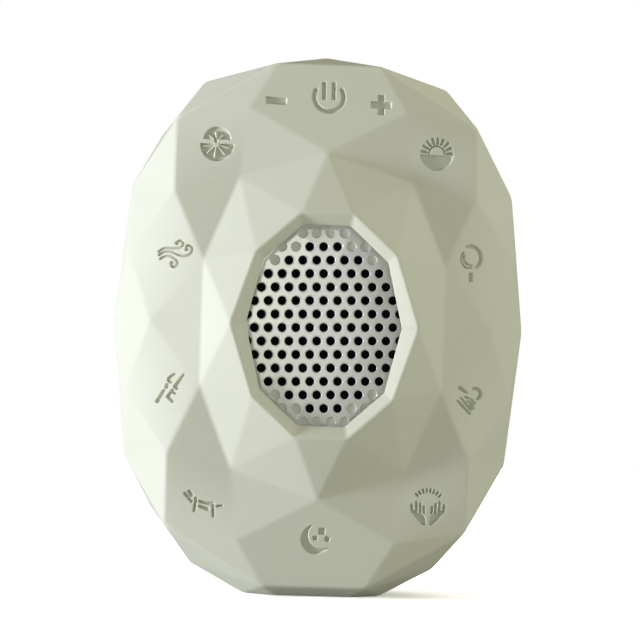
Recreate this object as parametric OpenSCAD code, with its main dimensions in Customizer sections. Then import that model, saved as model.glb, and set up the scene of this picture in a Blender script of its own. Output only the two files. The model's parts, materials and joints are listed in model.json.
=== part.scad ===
// White noise sound machine.
// A faceted pebble-shaped body stands on a small flat foot. A soft front skin with twelve
// moulded keys covers a rigid frame that carries the speaker, its grille and the main board;
// a rigid rear shell holds the battery and the charging port.
// Frame: X to the right, Y into the depth of the body, Z up, origin under the middle of the foot.

/* [Body] */
// Width across the widest facets
body_w = 96; // [92:1:110]
// Height from the foot to the crown
body_h = 126; // [122:1:145]
// Depth from the grille surround to the flat back
body_d = 42; // [41:0.5:50]
// Depth from the grille surround to the joint between the front skin and the rear shell
split_d = 20; // [19.5:0.25:22]
// Width of the flat foot
foot_w = 32; // [24:1:38]
// How far the foot reaches in front of the joint
foot_front = 5; // [3:0.5:7]
// How far the foot reaches behind the joint
foot_back = 9; // [8:0.5:10]

/* [Walls] */
// Thickness of the soft front skin
skin_t = 2.4; // [2.2:0.1:2.8]
// Thickness of the rigid frame under the skin
frame_t = 2.2; // [1.8:0.1:2.6]
// Thickness of the rear shell
shell_t = 2.2; // [1.8:0.1:2.8]

/* [Grille] */
// Width of the opening over the grille
opening_w = 36; // [33:0.5:37]
// Height of the opening over the grille
opening_h = 46.2; // [43:0.5:47]
// Width of the sloping surround at its sides
surround_side = 3.7; // [3:0.1:4.2]
// Width of the sloping surround at its top and bottom
surround_end = 2.7; // [2:0.1:3.2]
// How far the surround slopes in before the opening's edge
surround_drop = 2; // [1.2:0.1:2.1]
// Thickness of the grille plate
grille_t = 0.8; // [0.6:0.1:1]
// How far the grille plate reaches under the surround
grille_lap = 1.2; // [0.8:0.1:1.4]
// Diameter of a grille hole
hole_d = 2; // [1.6:0.1:2.2]
// Spacing of the holes along a row
hole_pitch = 3.2; // [2.9:0.1:3.4]
// Spacing of the rows
row_pitch = 3.1; // [2.9:0.1:3.4]
// Turn of the dotted field in its opening, counter-clockwise from the front, in degrees
field_turn = 1.75; // [0:0.25:2.5]
// Distance of the dotted field's middle below the opening's middle
field_drop = 0.4; // [0:0.1:0.6]
// Diameter of the blind dimples around the pierced field
dimple_d = 2.4; // [2:0.1:2.6]
// Depth of the blind dimples
dimple_depth = 0.25; // [0.15:0.05:0.4]
// Thickness of the dust cloth behind the grille
cloth_t = 0.3; // [0.2:0.05:0.4]

/* [Speaker] */
// Diameter of the speaker's flange
speaker_d = 45; // [44:0.5:46]
// Diameter of the sound duct in front of the cone
duct_d = 39.2; // [38:0.2:40]
// Depth of the speaker's flange face behind the grille surround
seat_depth = 8.6; // [8:0.1:9.5]
// Thickness of the foam gasket under the flange
gasket_t = 0.6; // [0.4:0.1:0.8]
// Thickness of the flange
flange_t = 1.2; // [1:0.1:1.5]
// Depth of the basket from its flange face to its back
basket_depth = 8.4; // [8:0.1:9]
// Thickness of the basket's pressed wall
basket_wall = 0.8; // [0.6:0.1:1]
// Diameter of the magnet ring
magnet_d = 26; // [24:0.5:27]
// Thickness of the magnet ring
magnet_t = 4; // [3:0.1:4.5]
// Thickness of the plates in front of and behind the magnet
plate_t = 1.4; // [1:0.1:1.8]
// Diameter of the pole piece
pole_d = 11; // [10:0.2:12]
// Distance of the speaker's screws from its axis
speaker_screw_r = 25; // [24.5:0.25:26]

/* [Keys] */
// Diameter of the five large keys on the upper and lower facets
key_d = 11; // [10.4:0.2:11.4]
// Diameter of the four keys on the flank facets
flank_key_d = 9.8; // [9:0.2:10]
// Diameter of the power key
power_key_d = 10.2; // [9.6:0.2:10.6]
// Diameter of the two volume keys
volume_key_d = 7.6; // [7.4:0.2:8]
// Width of the gap around a key
key_gap = 0.15; // [0.1:0.05:0.2]
// Travel of a key
key_travel = 0.5; // [0.3:0.05:0.6]
// Thickness of a key's face
key_t = 1.6; // [1.3:0.1:1.7]
// Diameter of the post behind a key
post_d = 3.2; // [2.6:0.1:3.4]
// Depth of the sunk symbols
symbol_depth = 0.7; // [0.3:0.05:0.8]

/* [Board] */
// Depth of the main board's front face behind the grille surround
board_depth = 18; // [17.5:0.1:18.4]
// Thickness of the circuit boards
board_t = 1.6; // [1.2:0.1:1.8]
// Gap between the main board's edge and the frame
board_gap = 0.6; // [0.5:0.1:1]
// Width of a switch
switch_w = 4.2; // [3.6:0.1:4.2]
// How far the posts of the top row's keys stand below the middle of their keys
top_post_shift = 2; // [1.8:0.1:2.1]
// How far the posts of the flank keys stand nearer to the middle of the body
flank_post_shift = 1.2; // [1:0.1:2]
// Height of a switch's body
switch_h = 1.5; // [1.3:0.1:1.8]
// Diameter of a switch's plunger
plunger_d = 2.6; // [2:0.1:2.8]
// How far a plunger still stands out of its switch when its key is pressed
plunger_spare = 0.3; // [0.2:0.05:0.4]

/* [Battery and charging] */
// Width of the battery cell
battery_w = 34; // [30:1:36]
// Height of the battery cell
battery_h = 50; // [44:1:52]
// Thickness of the battery cell
battery_t = 7; // [5:0.5:7.5]
// Thickness of the foam pad that holds the battery
pad_t = 1; // [0.6:0.1:1.4]
// Width of the charging port
port_w = 9; // [8.9:0.05:9.1]
// Thickness of the charging port
port_h = 3.2; // [3.1:0.05:3.3]
// Depth of the charging port
port_depth = 6.5; // [6:0.1:7.2]
// Height of the charging port below the middle of the body
port_drop = 37; // [35:0.5:39]

/* [Fasteners] */
// Shaft diameter of the case screws
case_screw_d = 2.5; // [2:0.1:2.6]
// Shaft diameter of the small screws
small_screw_d = 2; // [1.6:0.1:2.2]
// Depth of the case screws' heads under the back
case_head_depth = 9; // [8:0.5:11]

/* [Hidden] */
$fn = 48;
half_w = body_w / 2;
half_h = body_h / 2;
rear_d = body_d - split_d;

// Colours
sage = [0.77, 0.78, 0.70];
grille_grey = [0.76, 0.76, 0.73];
board_green = [0.10, 0.32, 0.20];
steel = [0.72, 0.72, 0.74];
black = [0.08, 0.08, 0.09];

// ---- Facet pattern ----
// Corners of one quarter of the front. Each is a share of the half width, of the half height
// and of the depth to the joint. The names give their place: the rim of the grille surround,
// the crests around it, the belt that the symbols' facets span, the shoulders and the joint.
crown_v = 0.637;
crown_w = 0.325;
brow_v = 0.963;
brow_w = 0.53;
temple_v = 0.794;
temple_w = crown_w + (brow_w - crown_w) * (temple_v - crown_v) / (brow_v - crown_v);

SURROUND_END = 0;
SURROUND_DIAGONAL = 1;
SURROUND_SIDE = 2;
CREST_END = 3;
CREST_DIAGONAL = 4;
CREST_SIDE = 5;
TEMPLE = 6;
BELT_DIAGONAL = 7;
BELT_SIDE = 8;
BROW = 9;
SHOULDER = 10;
HIP = 11;
RIM_END = 12;
RIM_UPPER = 13;
RIM_LOWER = 14;
RIM_SIDE = 15;
FOOT_SIDE = 16;
FOOT_FRONT = 17;
CORNERS = 18;

surround_w = opening_w / 2 + surround_side;
surround_h = opening_h / 2 + surround_end;

// The corners of the quarter in millimetres: across, up, depth behind the surround
front_quarter = concat(
    [[surround_w * 0.276, surround_h, 0],
     [surround_w * 0.747, surround_h * 0.643, 0],
     [surround_w, 0, 0]],
    [for (p = [[0, crown_v, crown_w],
               [0.419, 0.535, 0.465],
               [0.583, 0.229, 0.325],
               [0.381, temple_v, temple_w],
               [0.733, 0.483, 0.465],
               [0.831, 0, 0.565],
               [0.252, brow_v, brow_w],
               [0.731, 0.749, 0.57],
               [0.942, 0.259, 0.85],
               [0, 1, 1],
               [0.594, 0.895, 1],
               [0.931, 0.503, 1],
               [1, 0, 1]])
        [p[0] * half_w, p[1] * half_h, p[2] * split_d]],
    [[foot_w / 2, half_h, split_d],
     [foot_w * 0.28, half_h, split_d - foot_front]]);

// Quarters are numbered upper right, upper left, lower left, lower right.
// A corner on an axis belongs to two quarters and keeps one number.
function home(q, p) =
    let (a = (p[0] == 0) ? ((q == 1) ? 0 : (q == 2) ? 3 : q) : q)
    (p[1] == 0) ? ((a == 3) ? 0 : (a == 2) ? 1 : a) : a;
function corner(q, k) = home(q, front_quarter[k]) * CORNERS + k;
function quarter_sign(q) = [(q == 0 || q == 3) ? 1 : -1, (q < 2) ? 1 : -1];

// From across, up and depth to the part's own frame
function place(p) = [p[0], p[2] - body_d / 2, p[1] + half_h];

front_points = [for (q = [0:3]) for (p = front_quarter)
    place([p[0] * quarter_sign(q)[0], p[1] * quarter_sign(q)[1], p[2]])];

quarter_faces = [
    [SURROUND_END, SURROUND_DIAGONAL, CREST_DIAGONAL],
    [SURROUND_END, CREST_DIAGONAL, CREST_END],
    [SURROUND_DIAGONAL, SURROUND_SIDE, CREST_SIDE],
    [SURROUND_DIAGONAL, CREST_SIDE, CREST_DIAGONAL],
    [CREST_END, CREST_DIAGONAL, TEMPLE],
    [CREST_DIAGONAL, SHOULDER, TEMPLE],
    [CREST_DIAGONAL, BELT_DIAGONAL, SHOULDER],
    [TEMPLE, SHOULDER, BROW],
    [CREST_DIAGONAL, CREST_SIDE, BELT_DIAGONAL],
    [CREST_SIDE, HIP, BELT_DIAGONAL],
    [CREST_SIDE, BELT_SIDE, HIP],
    [BELT_DIAGONAL, HIP, RIM_LOWER],
    [BELT_DIAGONAL, RIM_LOWER, SHOULDER],
    [SHOULDER, RIM_LOWER, RIM_UPPER],
    [SHOULDER, RIM_UPPER, BROW],
    [HIP, RIM_SIDE, RIM_LOWER],
    [BELT_SIDE, RIM_SIDE, HIP],
    [CREST_END, TEMPLE, BROW]];

// Facets that cross from one quarter to the next, as pairs of quarter and corner
crossing_faces = concat(
    [for (q = [[0, 1], [3, 2]]) each [
        [[q[0], SURROUND_END], [q[1], SURROUND_END], [q[0], CREST_END]],
        [[q[0], CREST_END], [q[0], BROW], [q[1], BROW]]]],
    [for (q = [[0, 3], [1, 2]]) each [
        [[q[0], SURROUND_SIDE], [q[0], CREST_SIDE], [q[1], CREST_SIDE]],
        [[q[0], CREST_SIDE], [q[0], BELT_SIDE], [q[1], CREST_SIDE]]]],
    [[[0, BROW], [0, RIM_END], [1, BROW]],
     [[0, BROW], [0, RIM_UPPER], [0, RIM_END]],
     [[1, BROW], [1, RIM_UPPER], [0, RIM_END]],
     [[3, BROW], [3, RIM_UPPER], [3, FOOT_SIDE]],
     [[2, BROW], [2, RIM_UPPER], [2, FOOT_SIDE]],
     [[3, BROW], [3, FOOT_SIDE], [3, FOOT_FRONT]],
     [[2, BROW], [2, FOOT_SIDE], [2, FOOT_FRONT]],
     [[3, BROW], [3, FOOT_FRONT], [2, FOOT_FRONT]],
     [[3, BROW], [2, FOOT_FRONT], [2, BROW]],
     [[3, FOOT_SIDE], [2, FOOT_SIDE], [2, FOOT_FRONT], [3, FOOT_FRONT]]]);

// The rim at the joint, anticlockwise from the right as seen from the front
rim_corners = [[0, RIM_SIDE], [0, RIM_LOWER], [0, RIM_UPPER], [0, RIM_END],
    [1, RIM_UPPER], [1, RIM_LOWER], [1, RIM_SIDE], [2, RIM_LOWER], [2, RIM_UPPER],
    [2, FOOT_SIDE], [3, FOOT_SIDE], [3, RIM_UPPER], [3, RIM_LOWER]];
surround_corners = [[0, SURROUND_SIDE], [0, SURROUND_DIAGONAL], [0, SURROUND_END],
    [1, SURROUND_END], [1, SURROUND_DIAGONAL], [1, SURROUND_SIDE],
    [2, SURROUND_DIAGONAL], [2, SURROUND_END], [3, SURROUND_END], [3, SURROUND_DIAGONAL]];

function numbers(list) = [for (c = list) corner(c[0], c[1])];

// A face is listed clockwise as seen from outside the body, away from the point inside it
function wound(points, face, inside) =
    let (a = points[face[0]], n = cross(points[face[1]] - a, points[face[2]] - a))
    (n * (a - inside) < 0) ? face : [for (i = [len(face) - 1:-1:0]) face[i]];

front_inside = place([0, 0, split_d * 0.7]);
front_facets = [for (f = concat(
        [for (q = [0:3]) for (f = quarter_faces) [for (k = f) corner(q, k)]],
        [for (f = crossing_faces) numbers(f)]))
    wound(front_points, f, front_inside)];
front_caps = [for (f = [numbers(surround_corners), numbers(rim_corners)])
    wound(front_points, f, front_inside)];

// ---- Surfaces at a depth under the facets ----
function unit(v) = v / norm(v);
function total(list, i = 0) = (i >= len(list)) ? [0, 0, 0] : list[i] + total(list, i + 1);
function mean_along(list, d) = total([for (n = list) [n * d, 0, 0]])[0] / len(list);
// Outward normals of the facets that meet at corner i
function normals_at(points, facets, i) = [for (f = facets) if (len(search(i, f)) > 0)
    -unit(cross(points[f[1]] - points[f[0]], points[f[2]] - points[f[0]]))];
function flat(v) = unit([v[0], 0, v[2]]);

// A corner moved t inwards. On the joint's plane it moves within that plane, on a flat cap it
// sinks straight in, and elsewhere it moves against the mean of its facets' normals.
function sunk(points, facets, i, t, joint_y, cap_y, overshoot) =
    let (p = points[i], ns = normals_at(points, facets, i), sum = total(ns))
    (len(ns) == 0) ? p
    : (p[1] == joint_y) ? let (d = flat(sum), q = p - d * t / mean_along(ns, d))
        [q[0], joint_y + overshoot, q[2]]
    : (p[1] == cap_y) ? let (d = flat(sum), way = (joint_y > cap_y) ? 1 : -1)
        [p[0] - d[0] * t * 0.22, p[1] + way * t, p[2] - d[2] * t * 0.22]
    : let (d = unit(sum)) p - d * t / mean_along(ns, d);

// The front body, its surface t under the facets
module front_body(t = 0) {
    pts = (t == 0) ? front_points
        : [for (i = [0:len(front_points) - 1])
            sunk(front_points, front_facets, i, t, split_d - body_d / 2, -body_d / 2, 1)];
    polyhedron(points = pts, faces = concat(front_facets, front_caps));
}

// ---- Rear facets ----
// Corners of one quarter of the rear: the rim's own corners, a middle ring and the flat back
REAR_RIM_END = 0;
REAR_RIM_UPPER = 1;
REAR_RIM_LOWER = 2;
REAR_RIM_SIDE = 3;
MIDDLE_END = 4;
MIDDLE_DIAGONAL = 5;
MIDDLE_SIDE = 6;
BACK_END = 7;
BACK_DIAGONAL = 8;
BACK_SIDE = 9;
REAR_FOOT_SIDE = 10;
REAR_FOOT_BACK = 11;
REAR_CORNERS = 12;
rear_quarter = concat(
    [for (p = [[0, 1, 0], [0.594, 0.895, 0], [0.931, 0.503, 0], [1, 0, 0],
               [0.33, 0.9, 0.6], [0.79, 0.7, 0.5], [0.95, 0.25, 0.5],
               [0, 0.76, 1], [0.42, 0.64, 1], [0.7, 0.27, 1]])
        [p[0] * half_w, p[1] * half_h, split_d + p[2] * rear_d]],
    [[foot_w / 2, half_h, split_d],
     [foot_w * 0.34, half_h, split_d + foot_back]]);

function rear_corner(q, k) = home(q, rear_quarter[k]) * REAR_CORNERS + k;
rear_points = [for (q = [0:3]) for (p = rear_quarter)
    place([p[0] * quarter_sign(q)[0], p[1] * quarter_sign(q)[1], p[2]])];
rear_quarter_faces = [
    [REAR_RIM_UPPER, REAR_RIM_LOWER, MIDDLE_DIAGONAL],
    [REAR_RIM_UPPER, MIDDLE_DIAGONAL, MIDDLE_END],
    [REAR_RIM_LOWER, REAR_RIM_SIDE, MIDDLE_SIDE],
    [REAR_RIM_LOWER, MIDDLE_SIDE, MIDDLE_DIAGONAL],
    [MIDDLE_END, MIDDLE_DIAGONAL, BACK_DIAGONAL],
    [MIDDLE_END, BACK_DIAGONAL, BACK_END],
    [MIDDLE_DIAGONAL, MIDDLE_SIDE, BACK_SIDE],
    [MIDDLE_DIAGONAL, BACK_SIDE, BACK_DIAGONAL]];
rear_crossing_faces = concat(
    [for (q = [[0, 3], [1, 2]]) each [
        [[q[0], REAR_RIM_SIDE], [q[0], MIDDLE_SIDE], [q[1], MIDDLE_SIDE]],
        [[q[0], MIDDLE_SIDE], [q[0], BACK_SIDE], [q[1], BACK_SIDE]],
        [[q[0], MIDDLE_SIDE], [q[1], BACK_SIDE], [q[1], MIDDLE_SIDE]]]],
    [for (q = [[0, 1], [3, 2]])
        [[q[0], MIDDLE_END], [q[0], BACK_END], [q[1], MIDDLE_END]]],
    [[[0, REAR_RIM_END], [0, REAR_RIM_UPPER], [0, MIDDLE_END]],
     [[0, REAR_RIM_END], [1, REAR_RIM_UPPER], [1, MIDDLE_END]],
     [[0, REAR_RIM_END], [0, MIDDLE_END], [1, MIDDLE_END]]],
    [for (q = [2, 3]) each [
        [[q, REAR_RIM_UPPER], [q, REAR_FOOT_SIDE], [q, MIDDLE_END]],
        [[q, REAR_FOOT_SIDE], [q, REAR_FOOT_BACK], [q, MIDDLE_END]]]],
    [[[3, REAR_FOOT_BACK], [2, REAR_FOOT_BACK], [3, MIDDLE_END]],
     [[2, REAR_FOOT_BACK], [2, MIDDLE_END], [3, MIDDLE_END]],
     [[3, REAR_FOOT_SIDE], [3, REAR_FOOT_BACK], [2, REAR_FOOT_BACK], [2, REAR_FOOT_SIDE]]]);
rear_rim = [[0, REAR_RIM_SIDE], [0, REAR_RIM_LOWER], [0, REAR_RIM_UPPER], [0, REAR_RIM_END],
    [1, REAR_RIM_UPPER], [1, REAR_RIM_LOWER], [1, REAR_RIM_SIDE], [2, REAR_RIM_LOWER],
    [2, REAR_RIM_UPPER], [2, REAR_FOOT_SIDE], [3, REAR_FOOT_SIDE], [3, REAR_RIM_UPPER],
    [3, REAR_RIM_LOWER]];
back_corners = [[0, BACK_SIDE], [0, BACK_DIAGONAL], [0, BACK_END], [1, BACK_DIAGONAL],
    [1, BACK_SIDE], [2, BACK_SIDE], [2, BACK_DIAGONAL], [3, BACK_END], [3, BACK_DIAGONAL],
    [3, BACK_SIDE]];
function rear_numbers(list) = [for (c = list) rear_corner(c[0], c[1])];
rear_inside = place([0, 0, split_d + rear_d * 0.4]);
rear_facets = [for (f = concat(
        [for (q = [0:3]) for (f = rear_quarter_faces) [for (k = f) rear_corner(q, k)]],
        [for (f = rear_crossing_faces) rear_numbers(f)]))
    wound(rear_points, f, rear_inside)];
rear_caps = [for (f = [rear_numbers(rear_rim), rear_numbers(back_corners)])
    wound(rear_points, f, rear_inside)];

// The rear body, its surface t under the facets
module rear_body(t = 0) {
    pts = (t == 0) ? rear_points
        : [for (i = [0:len(rear_points) - 1])
            sunk(rear_points, rear_facets, i, t, split_d - body_d / 2, body_d / 2, -1)];
    polyhedron(points = pts, faces = concat(rear_facets, rear_caps));
}

// ---- Working helpers ----
// Puts children, drawn in the plane of the face with their height along the depth, at a place
module at(across, up, depth) {
    translate([across, depth - body_d / 2, up + half_h]) rotate([-90, 0, 0]) children();
}
// A round bar along the depth, from one depth to another
module bar(p, from, to, d) {
    at(p[0], p[1], from) cylinder(h = to - from, d = d);
}
// A straight-sided plate along the depth, from an outline seen from the front
module plate(from, to) {
    translate([0, from - body_d / 2, half_h]) rotate([90, 0, 0]) mirror([0, 0, 1])
        linear_extrude(height = to - from) children();
}
// A block along the depth: middle, size across and up, from one depth to another
module block(p, from, to, w, h) {
    plate(from, to) translate([p[0] - w / 2, p[1] - h / 2]) square([w, h]);
}
// A ten-sided outline like the grille's opening, with its reach across and up
function ten_sides(w, h, e, dx, dy) = [[w, 0], [w * dx, h * dy], [w * e, h], [-w * e, h],
    [-w * dx, h * dy], [-w, 0], [-w * dx, -h * dy], [-w * e, -h], [w * e, -h], [w * dx, -h * dy]];
module opening_outline(grow = 0) {
    polygon(ten_sides(opening_w / 2 + grow, opening_h / 2 + grow, 0.305, 0.8, 0.65));
}

// ---- Clearances ----
// Gap between pieces that are put together
fit = 0.15;
// Gap around a post, a switch or a washer
post_gap = 0.4;
// How much wider a bar of the case is than the screw or washer in it
screw_gap = 0.3;

// ---- Depths behind the grille surround, from front to back ----
grille_front = skin_t;
grille_back = grille_front + grille_t;
cloth_back = grille_back + cloth_t;
gasket_front = seat_depth - gasket_t;
speaker_boss_top = seat_depth + flange_t;
basket_back = seat_depth + basket_depth;
magnet_front = basket_back + plate_t;
magnet_back = magnet_front + magnet_t;
board_back = board_depth + board_t;
switch_top = board_depth - switch_h;
post_end = switch_top - plunger_spare - key_travel;
case_seat = body_d - case_head_depth;
charge_back = body_d - 0.6 - port_depth;
charge_front = charge_back - board_t;
battery_back = body_d - shell_t - pad_t;

// ---- Screws ----
small_shaft_d = small_screw_d - 0.4;
small_head_d = small_screw_d * 1.9;
small_head_h = small_screw_d * 0.6;
case_shaft_d = case_screw_d - 0.4;
case_head_d = case_screw_d * 1.8;
case_head_h = case_screw_d * 0.7;
// How deep the screws reach into the bosses of the frame
screw_reach = 4;
screw_hole_reach = 4.5;
washer_d = 6.4;
washer_t = 0.5;
case_boss_d = 7.4;
case_place = [0.655 * half_w, 0.445 * half_h];
board_place = [0.72 * half_w, 0.62 * half_h];
charge_screw_x = 8.6;
speaker_screws_at = [for (a = [45, 135, 225, 315]) speaker_screw_r * [cos(a), sin(a)]];
case_screws_at = [for (sx = [-1, 1]) for (sy = [-1, 1]) [sx * case_place[0], sy * case_place[1]]];
board_screws_at = [[0, board_place[1]], [0, -board_place[1]], [board_place[0], 0], [-board_place[0], 0]];
charge_screws_at = [for (sx = [-1, 1]) [sx * charge_screw_x, -port_drop]];

// ---- Keys ----

// Name, share of the half width, share of the half height, diameter and post shift of each key
keys = [
    ["power", 0, 0.843, power_key_d, top_post_shift],
    ["minus", -0.255, 0.824, volume_key_d, top_post_shift],
    ["plus", 0.254, 0.82, volume_key_d, top_post_shift],
    ["sunrise", 0.533, 0.647, key_d, 0],
    ["gong", 0.711, 0.245, flank_key_d, flank_post_shift],
    ["heart", 0.728, -0.26, flank_key_d, flank_post_shift],
    ["hands", 0.542, -0.653, key_d, 0],
    ["moon", 0, -0.785, key_d, 0],
    ["walker", -0.546, -0.666, key_d, 0],
    ["sleeper", -0.721, -0.245, flank_key_d, flank_post_shift],
    ["wind", -0.719, 0.249, flank_key_d, flank_post_shift],
    ["citrus", -0.532, 0.656, key_d, 0]];
function key(name) = [for (k = keys) if (k[0] == name) k][0];
function key_at(k) = [k[1] * half_w, k[2] * half_h];
function post_at(k) = key_at(k) - k[4] * key_at(k) / norm(key_at(k));

// ---- Symbols, drawn in millimetres about their middle ----
module stroke(a, b, w) {
    d = b - a;
    translate(a) rotate(atan2(d[1], d[0])) {
        translate([0, -w / 2]) square([norm(d), w]);
        circle(d = w, $fn = 16);
        translate([norm(d), 0]) circle(d = w, $fn = 16);
    }
}
module path(points, w) {
    for (i = [0:len(points) - 2]) stroke(points[i], points[i + 1], w);
}
// A band of a circle from one angle to another
module arc(r, w, from, to) {
    steps = ceil((to - from) / 45);
    turn = (to - from) / steps;
    far = (r + w) / cos(turn / 2);
    difference() {
        intersection() {
            circle(r = r + w / 2);
            polygon(concat([[0, 0]], [for (i = [0:steps])
                far * [cos(from + turn * i), sin(from + turn * i)]]));
        }
        circle(r = r - w / 2);
    }
}
module ray_fan(r0, r1, w, from, to, count) {
    for (i = [0:count - 1]) {
        a = from + (to - from) * i / (count - 1);
        stroke(r0 * [cos(a), sin(a)], r1 * [cos(a), sin(a)], w);
    }
}
// A rectangle about a middle
module block_at(middle, w, h) {
    translate([middle[0] - w / 2, middle[1] - h / 2]) square([w, h]);
}
module symbol_power() {
    arc(3.4, 0.85, 150, 392);
    block_at([-1.15, 1.4], 0.9, 4);
    block_at([1.1, 1.4], 0.9, 4);
}
module symbol_minus() { polygon([[-2.3, -0.8], [2.4, -0.9], [2.4, 0.6], [-2.3, 0.8]]); }
module symbol_plus() {
    block_at([0, 0], 4.7, 1.45);
    block_at([0, 0], 1.45, 4.6);
}
module symbol_sunrise() {
    ray_fan(2.45, 3.7, 0.5, 3, 172, 9);
    arc(1.85, 0.3, 0, 180);
    intersection() {
        circle(r = 3.85);
        block_at([0, -5.35], 10, 10);
    }
}
module symbol_gong() {
    translate([0, 1.45]) arc(2.65, 0.7, -55, 112);
    translate([0.1, 1.4]) arc(1.65, 0.35, 160, 265);
    translate([0, 1.15]) arc(2.25, 0.35, 140, 250);
    block_at([0.25, -3.1], 0.75, 2);
}
module symbol_heart() {
    translate([1.5, 1.65]) arc(1.25, 0.6, -65, 120);
    stroke([-2.4, 2.95], [-0.8, 2], 0.55);
    stroke([-2.9, 0], [0, -3], 0.4);
    stroke([-2.1, 0.7], [0.3, -1.9], 0.3);
    stroke([-1, 0.9], [0.8, 0.1], 0.35);
    stroke([-0.4, -0.1], [0.9, -0.9], 0.35);
    stroke([0.3, -1.05], [1.05, -1.7], 0.35);
}
module symbol_hands() {
    ray_fan(3.3, 4.1, 0.4, 43, 135, 8);
    hand = [[0.5, -4.3], [1.1, -4.3], [2.3, -3.2], [3.5, -1.7], [4.1, 0.5], [3.6, 0.6], [3.2, -0.7],
        [2.9, -1], [3, 1.1], [2.5, 1.1], [2.4, -1.5], [2.1, -1.7], [2.1, 0.7], [1.6, 0.7], [1.5, -1.9],
        [1.3, -2], [1.2, -0.1], [0.75, -0.1], [0.7, -1.9], [0.6, -2.9]];
    for (side = [-1, 1]) polygon([for (p = hand) [side * p[0], p[1]]]);
}
module symbol_moon() {
    difference() {
        translate([0, -0.1]) circle(r = 3.55);
        translate([1.25, 1.2]) circle(r = 3.4);
    }
    block_at([1.25, 1.65], 1.35, 1.4);
    block_at([-0.25, 0.05], 0.9, 0.9);
    translate([2.5, 0]) rotate(25) square(1.05, center = true);
}
module symbol_walker() {
    stroke([-4.3, 2.3], [-2.65, 0.45], 0.5);
    stroke([-3.3, 2.7], [-2.8, 1.95], 0.75);
    stroke([-1.7, 1.15], [-2, -1.7], 0.55);
    path([[-0.9, 0.55], [0.2, 0.3], [2.2, 0.25], [2.4, -2.7]], 0.5);
    stroke([-0.75, -0.6], [1.1, -1.1], 0.55);
    stroke([3.25, -0.5], [4.4, -0.3], 0.4);
}
module symbol_sleeper() {
    stroke([-2.9, -3.15], [-1.5, -0.6], 0.6);
    stroke([-0.8, 0.7], [-0.95, 0.2], 0.6);
    path([[0.8, 3.2], [-0.1, 2.6], [-0.5, 2], [-0.3, 1.55], [0.15, 1.35]], 0.45);
    path([[2.8, 3.1], [1.05, 0.4], [1.45, -0.1]], 0.5);
    path([[0.5, -0.45], [-0.6, -2], [0.5, -3.05]], 0.5);
    stroke([0.3, -0.7], [1.1, -1.2], 0.4);
}
// A breath of wind: a line through points, with a round drop at its end
module gust(points) {
    path(points, 0.45);
    translate(points[len(points) - 1]) circle(d = 0.75);
}
module symbol_wind() {
    gust([[-3.7, 0.35], [-3, 0.9], [-2, 1.25], [0.9, 1.3], [1.6, 1.7], [1.75, 2.4], [1.3, 2.95],
        [0.7, 2.95], [0.35, 2.4]]);
    gust([[-3.6, -0.4], [-2.8, 0.15], [-1.5, 0.45], [-0.5, 0.3], [0.8, -0.3], [2.3, -0.5], [3.2, -0.2],
        [3.75, 0.6], [3.7, 1.5], [3, 2], [2.6, 1.2]]);
    gust([[-3.3, -1.3], [-2.4, -0.75], [-1.1, -0.6], [-0.1, -1.1], [0.5, -1.9], [0.5, -2.6],
        [0, -3.1], [-0.7, -2.9], [-0.7, -2.2]]);
}
module symbol_citrus() {
    difference() {
        intersection() {
            translate([0, -0.05]) circle(r = 3.85);
            block_at([0, -4.95], 10, 10);
        }
        circle(r = 0.75);
        for (a = [192, 225, 264, 310, 345]) stroke([0, 0], 3 * [cos(a), sin(a)], 0.45);
    }
    difference() {
        intersection() {
            translate([0, 0.85]) circle(r = 3.1);
            block_at([0, 6.15], 10, 10);
        }
        for (a = [45, 93, 140]) stroke([0, 0.6], [2 * cos(a), 0.6 + 2 * sin(a)], 0.45);
    }
}
// The symbols are drawn in elevenths of a large key's width
module symbol(name) scale(key_d / 11) {
    if (name == "power") symbol_power();
    if (name == "minus") symbol_minus();
    if (name == "plus") symbol_plus();
    if (name == "sunrise") symbol_sunrise();
    if (name == "gong") symbol_gong();
    if (name == "heart") symbol_heart();
    if (name == "hands") symbol_hands();
    if (name == "moon") symbol_moon();
    if (name == "walker") symbol_walker();
    if (name == "sleeper") symbol_sleeper();
    if (name == "wind") symbol_wind();
    if (name == "citrus") symbol_citrus();
}

// ---- Case ----
module front_skin() {
    color(sage) difference() {
        front_body();
        front_body(skin_t);
        surround_funnel();
        for (k = keys) bar(key_at(k), -1, split_d, k[3] + 2 * key_gap);
    }
}
// The sloping surround and the opening behind it
module surround_funnel() {
    outer = ten_sides(surround_w, surround_h, 0.276, 0.747, 0.643);
    inner = ten_sides(opening_w / 2, opening_h / 2, 0.305, 0.8, 0.65);
    lift = 0.01;
    far = [for (p = outer) place([p[0], p[1], -lift])];
    near = [for (p = inner) place([p[0], p[1], surround_drop])];
    polyhedron(points = concat(far, near), faces = concat(
        [[for (i = [9:-1:0]) i], [for (i = [0:9]) i + 10]],
        [for (i = [0:9]) let (j = (i + 1) % 10) [i, j, i + 10]],
        [for (i = [0:9]) let (j = (i + 1) % 10) [i + 10, j, j + 10]]));
    plate(surround_drop - lift, split_d) opening_outline();
}
speaker_seat_d = 2 * speaker_screw_r + 6;
// The walls of the frame: the shell under the skin, hollowed, with room for the board's edge
module frame_wall() {
    difference() {
        front_body(skin_t);
        front_body(skin_t + frame_t);
        block([0, 0], split_d, split_d + 2, 2 * body_w, 2 * body_h);
        plate(board_depth - fit, split_d + 1) board_outline(fit);
    }
}
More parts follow.
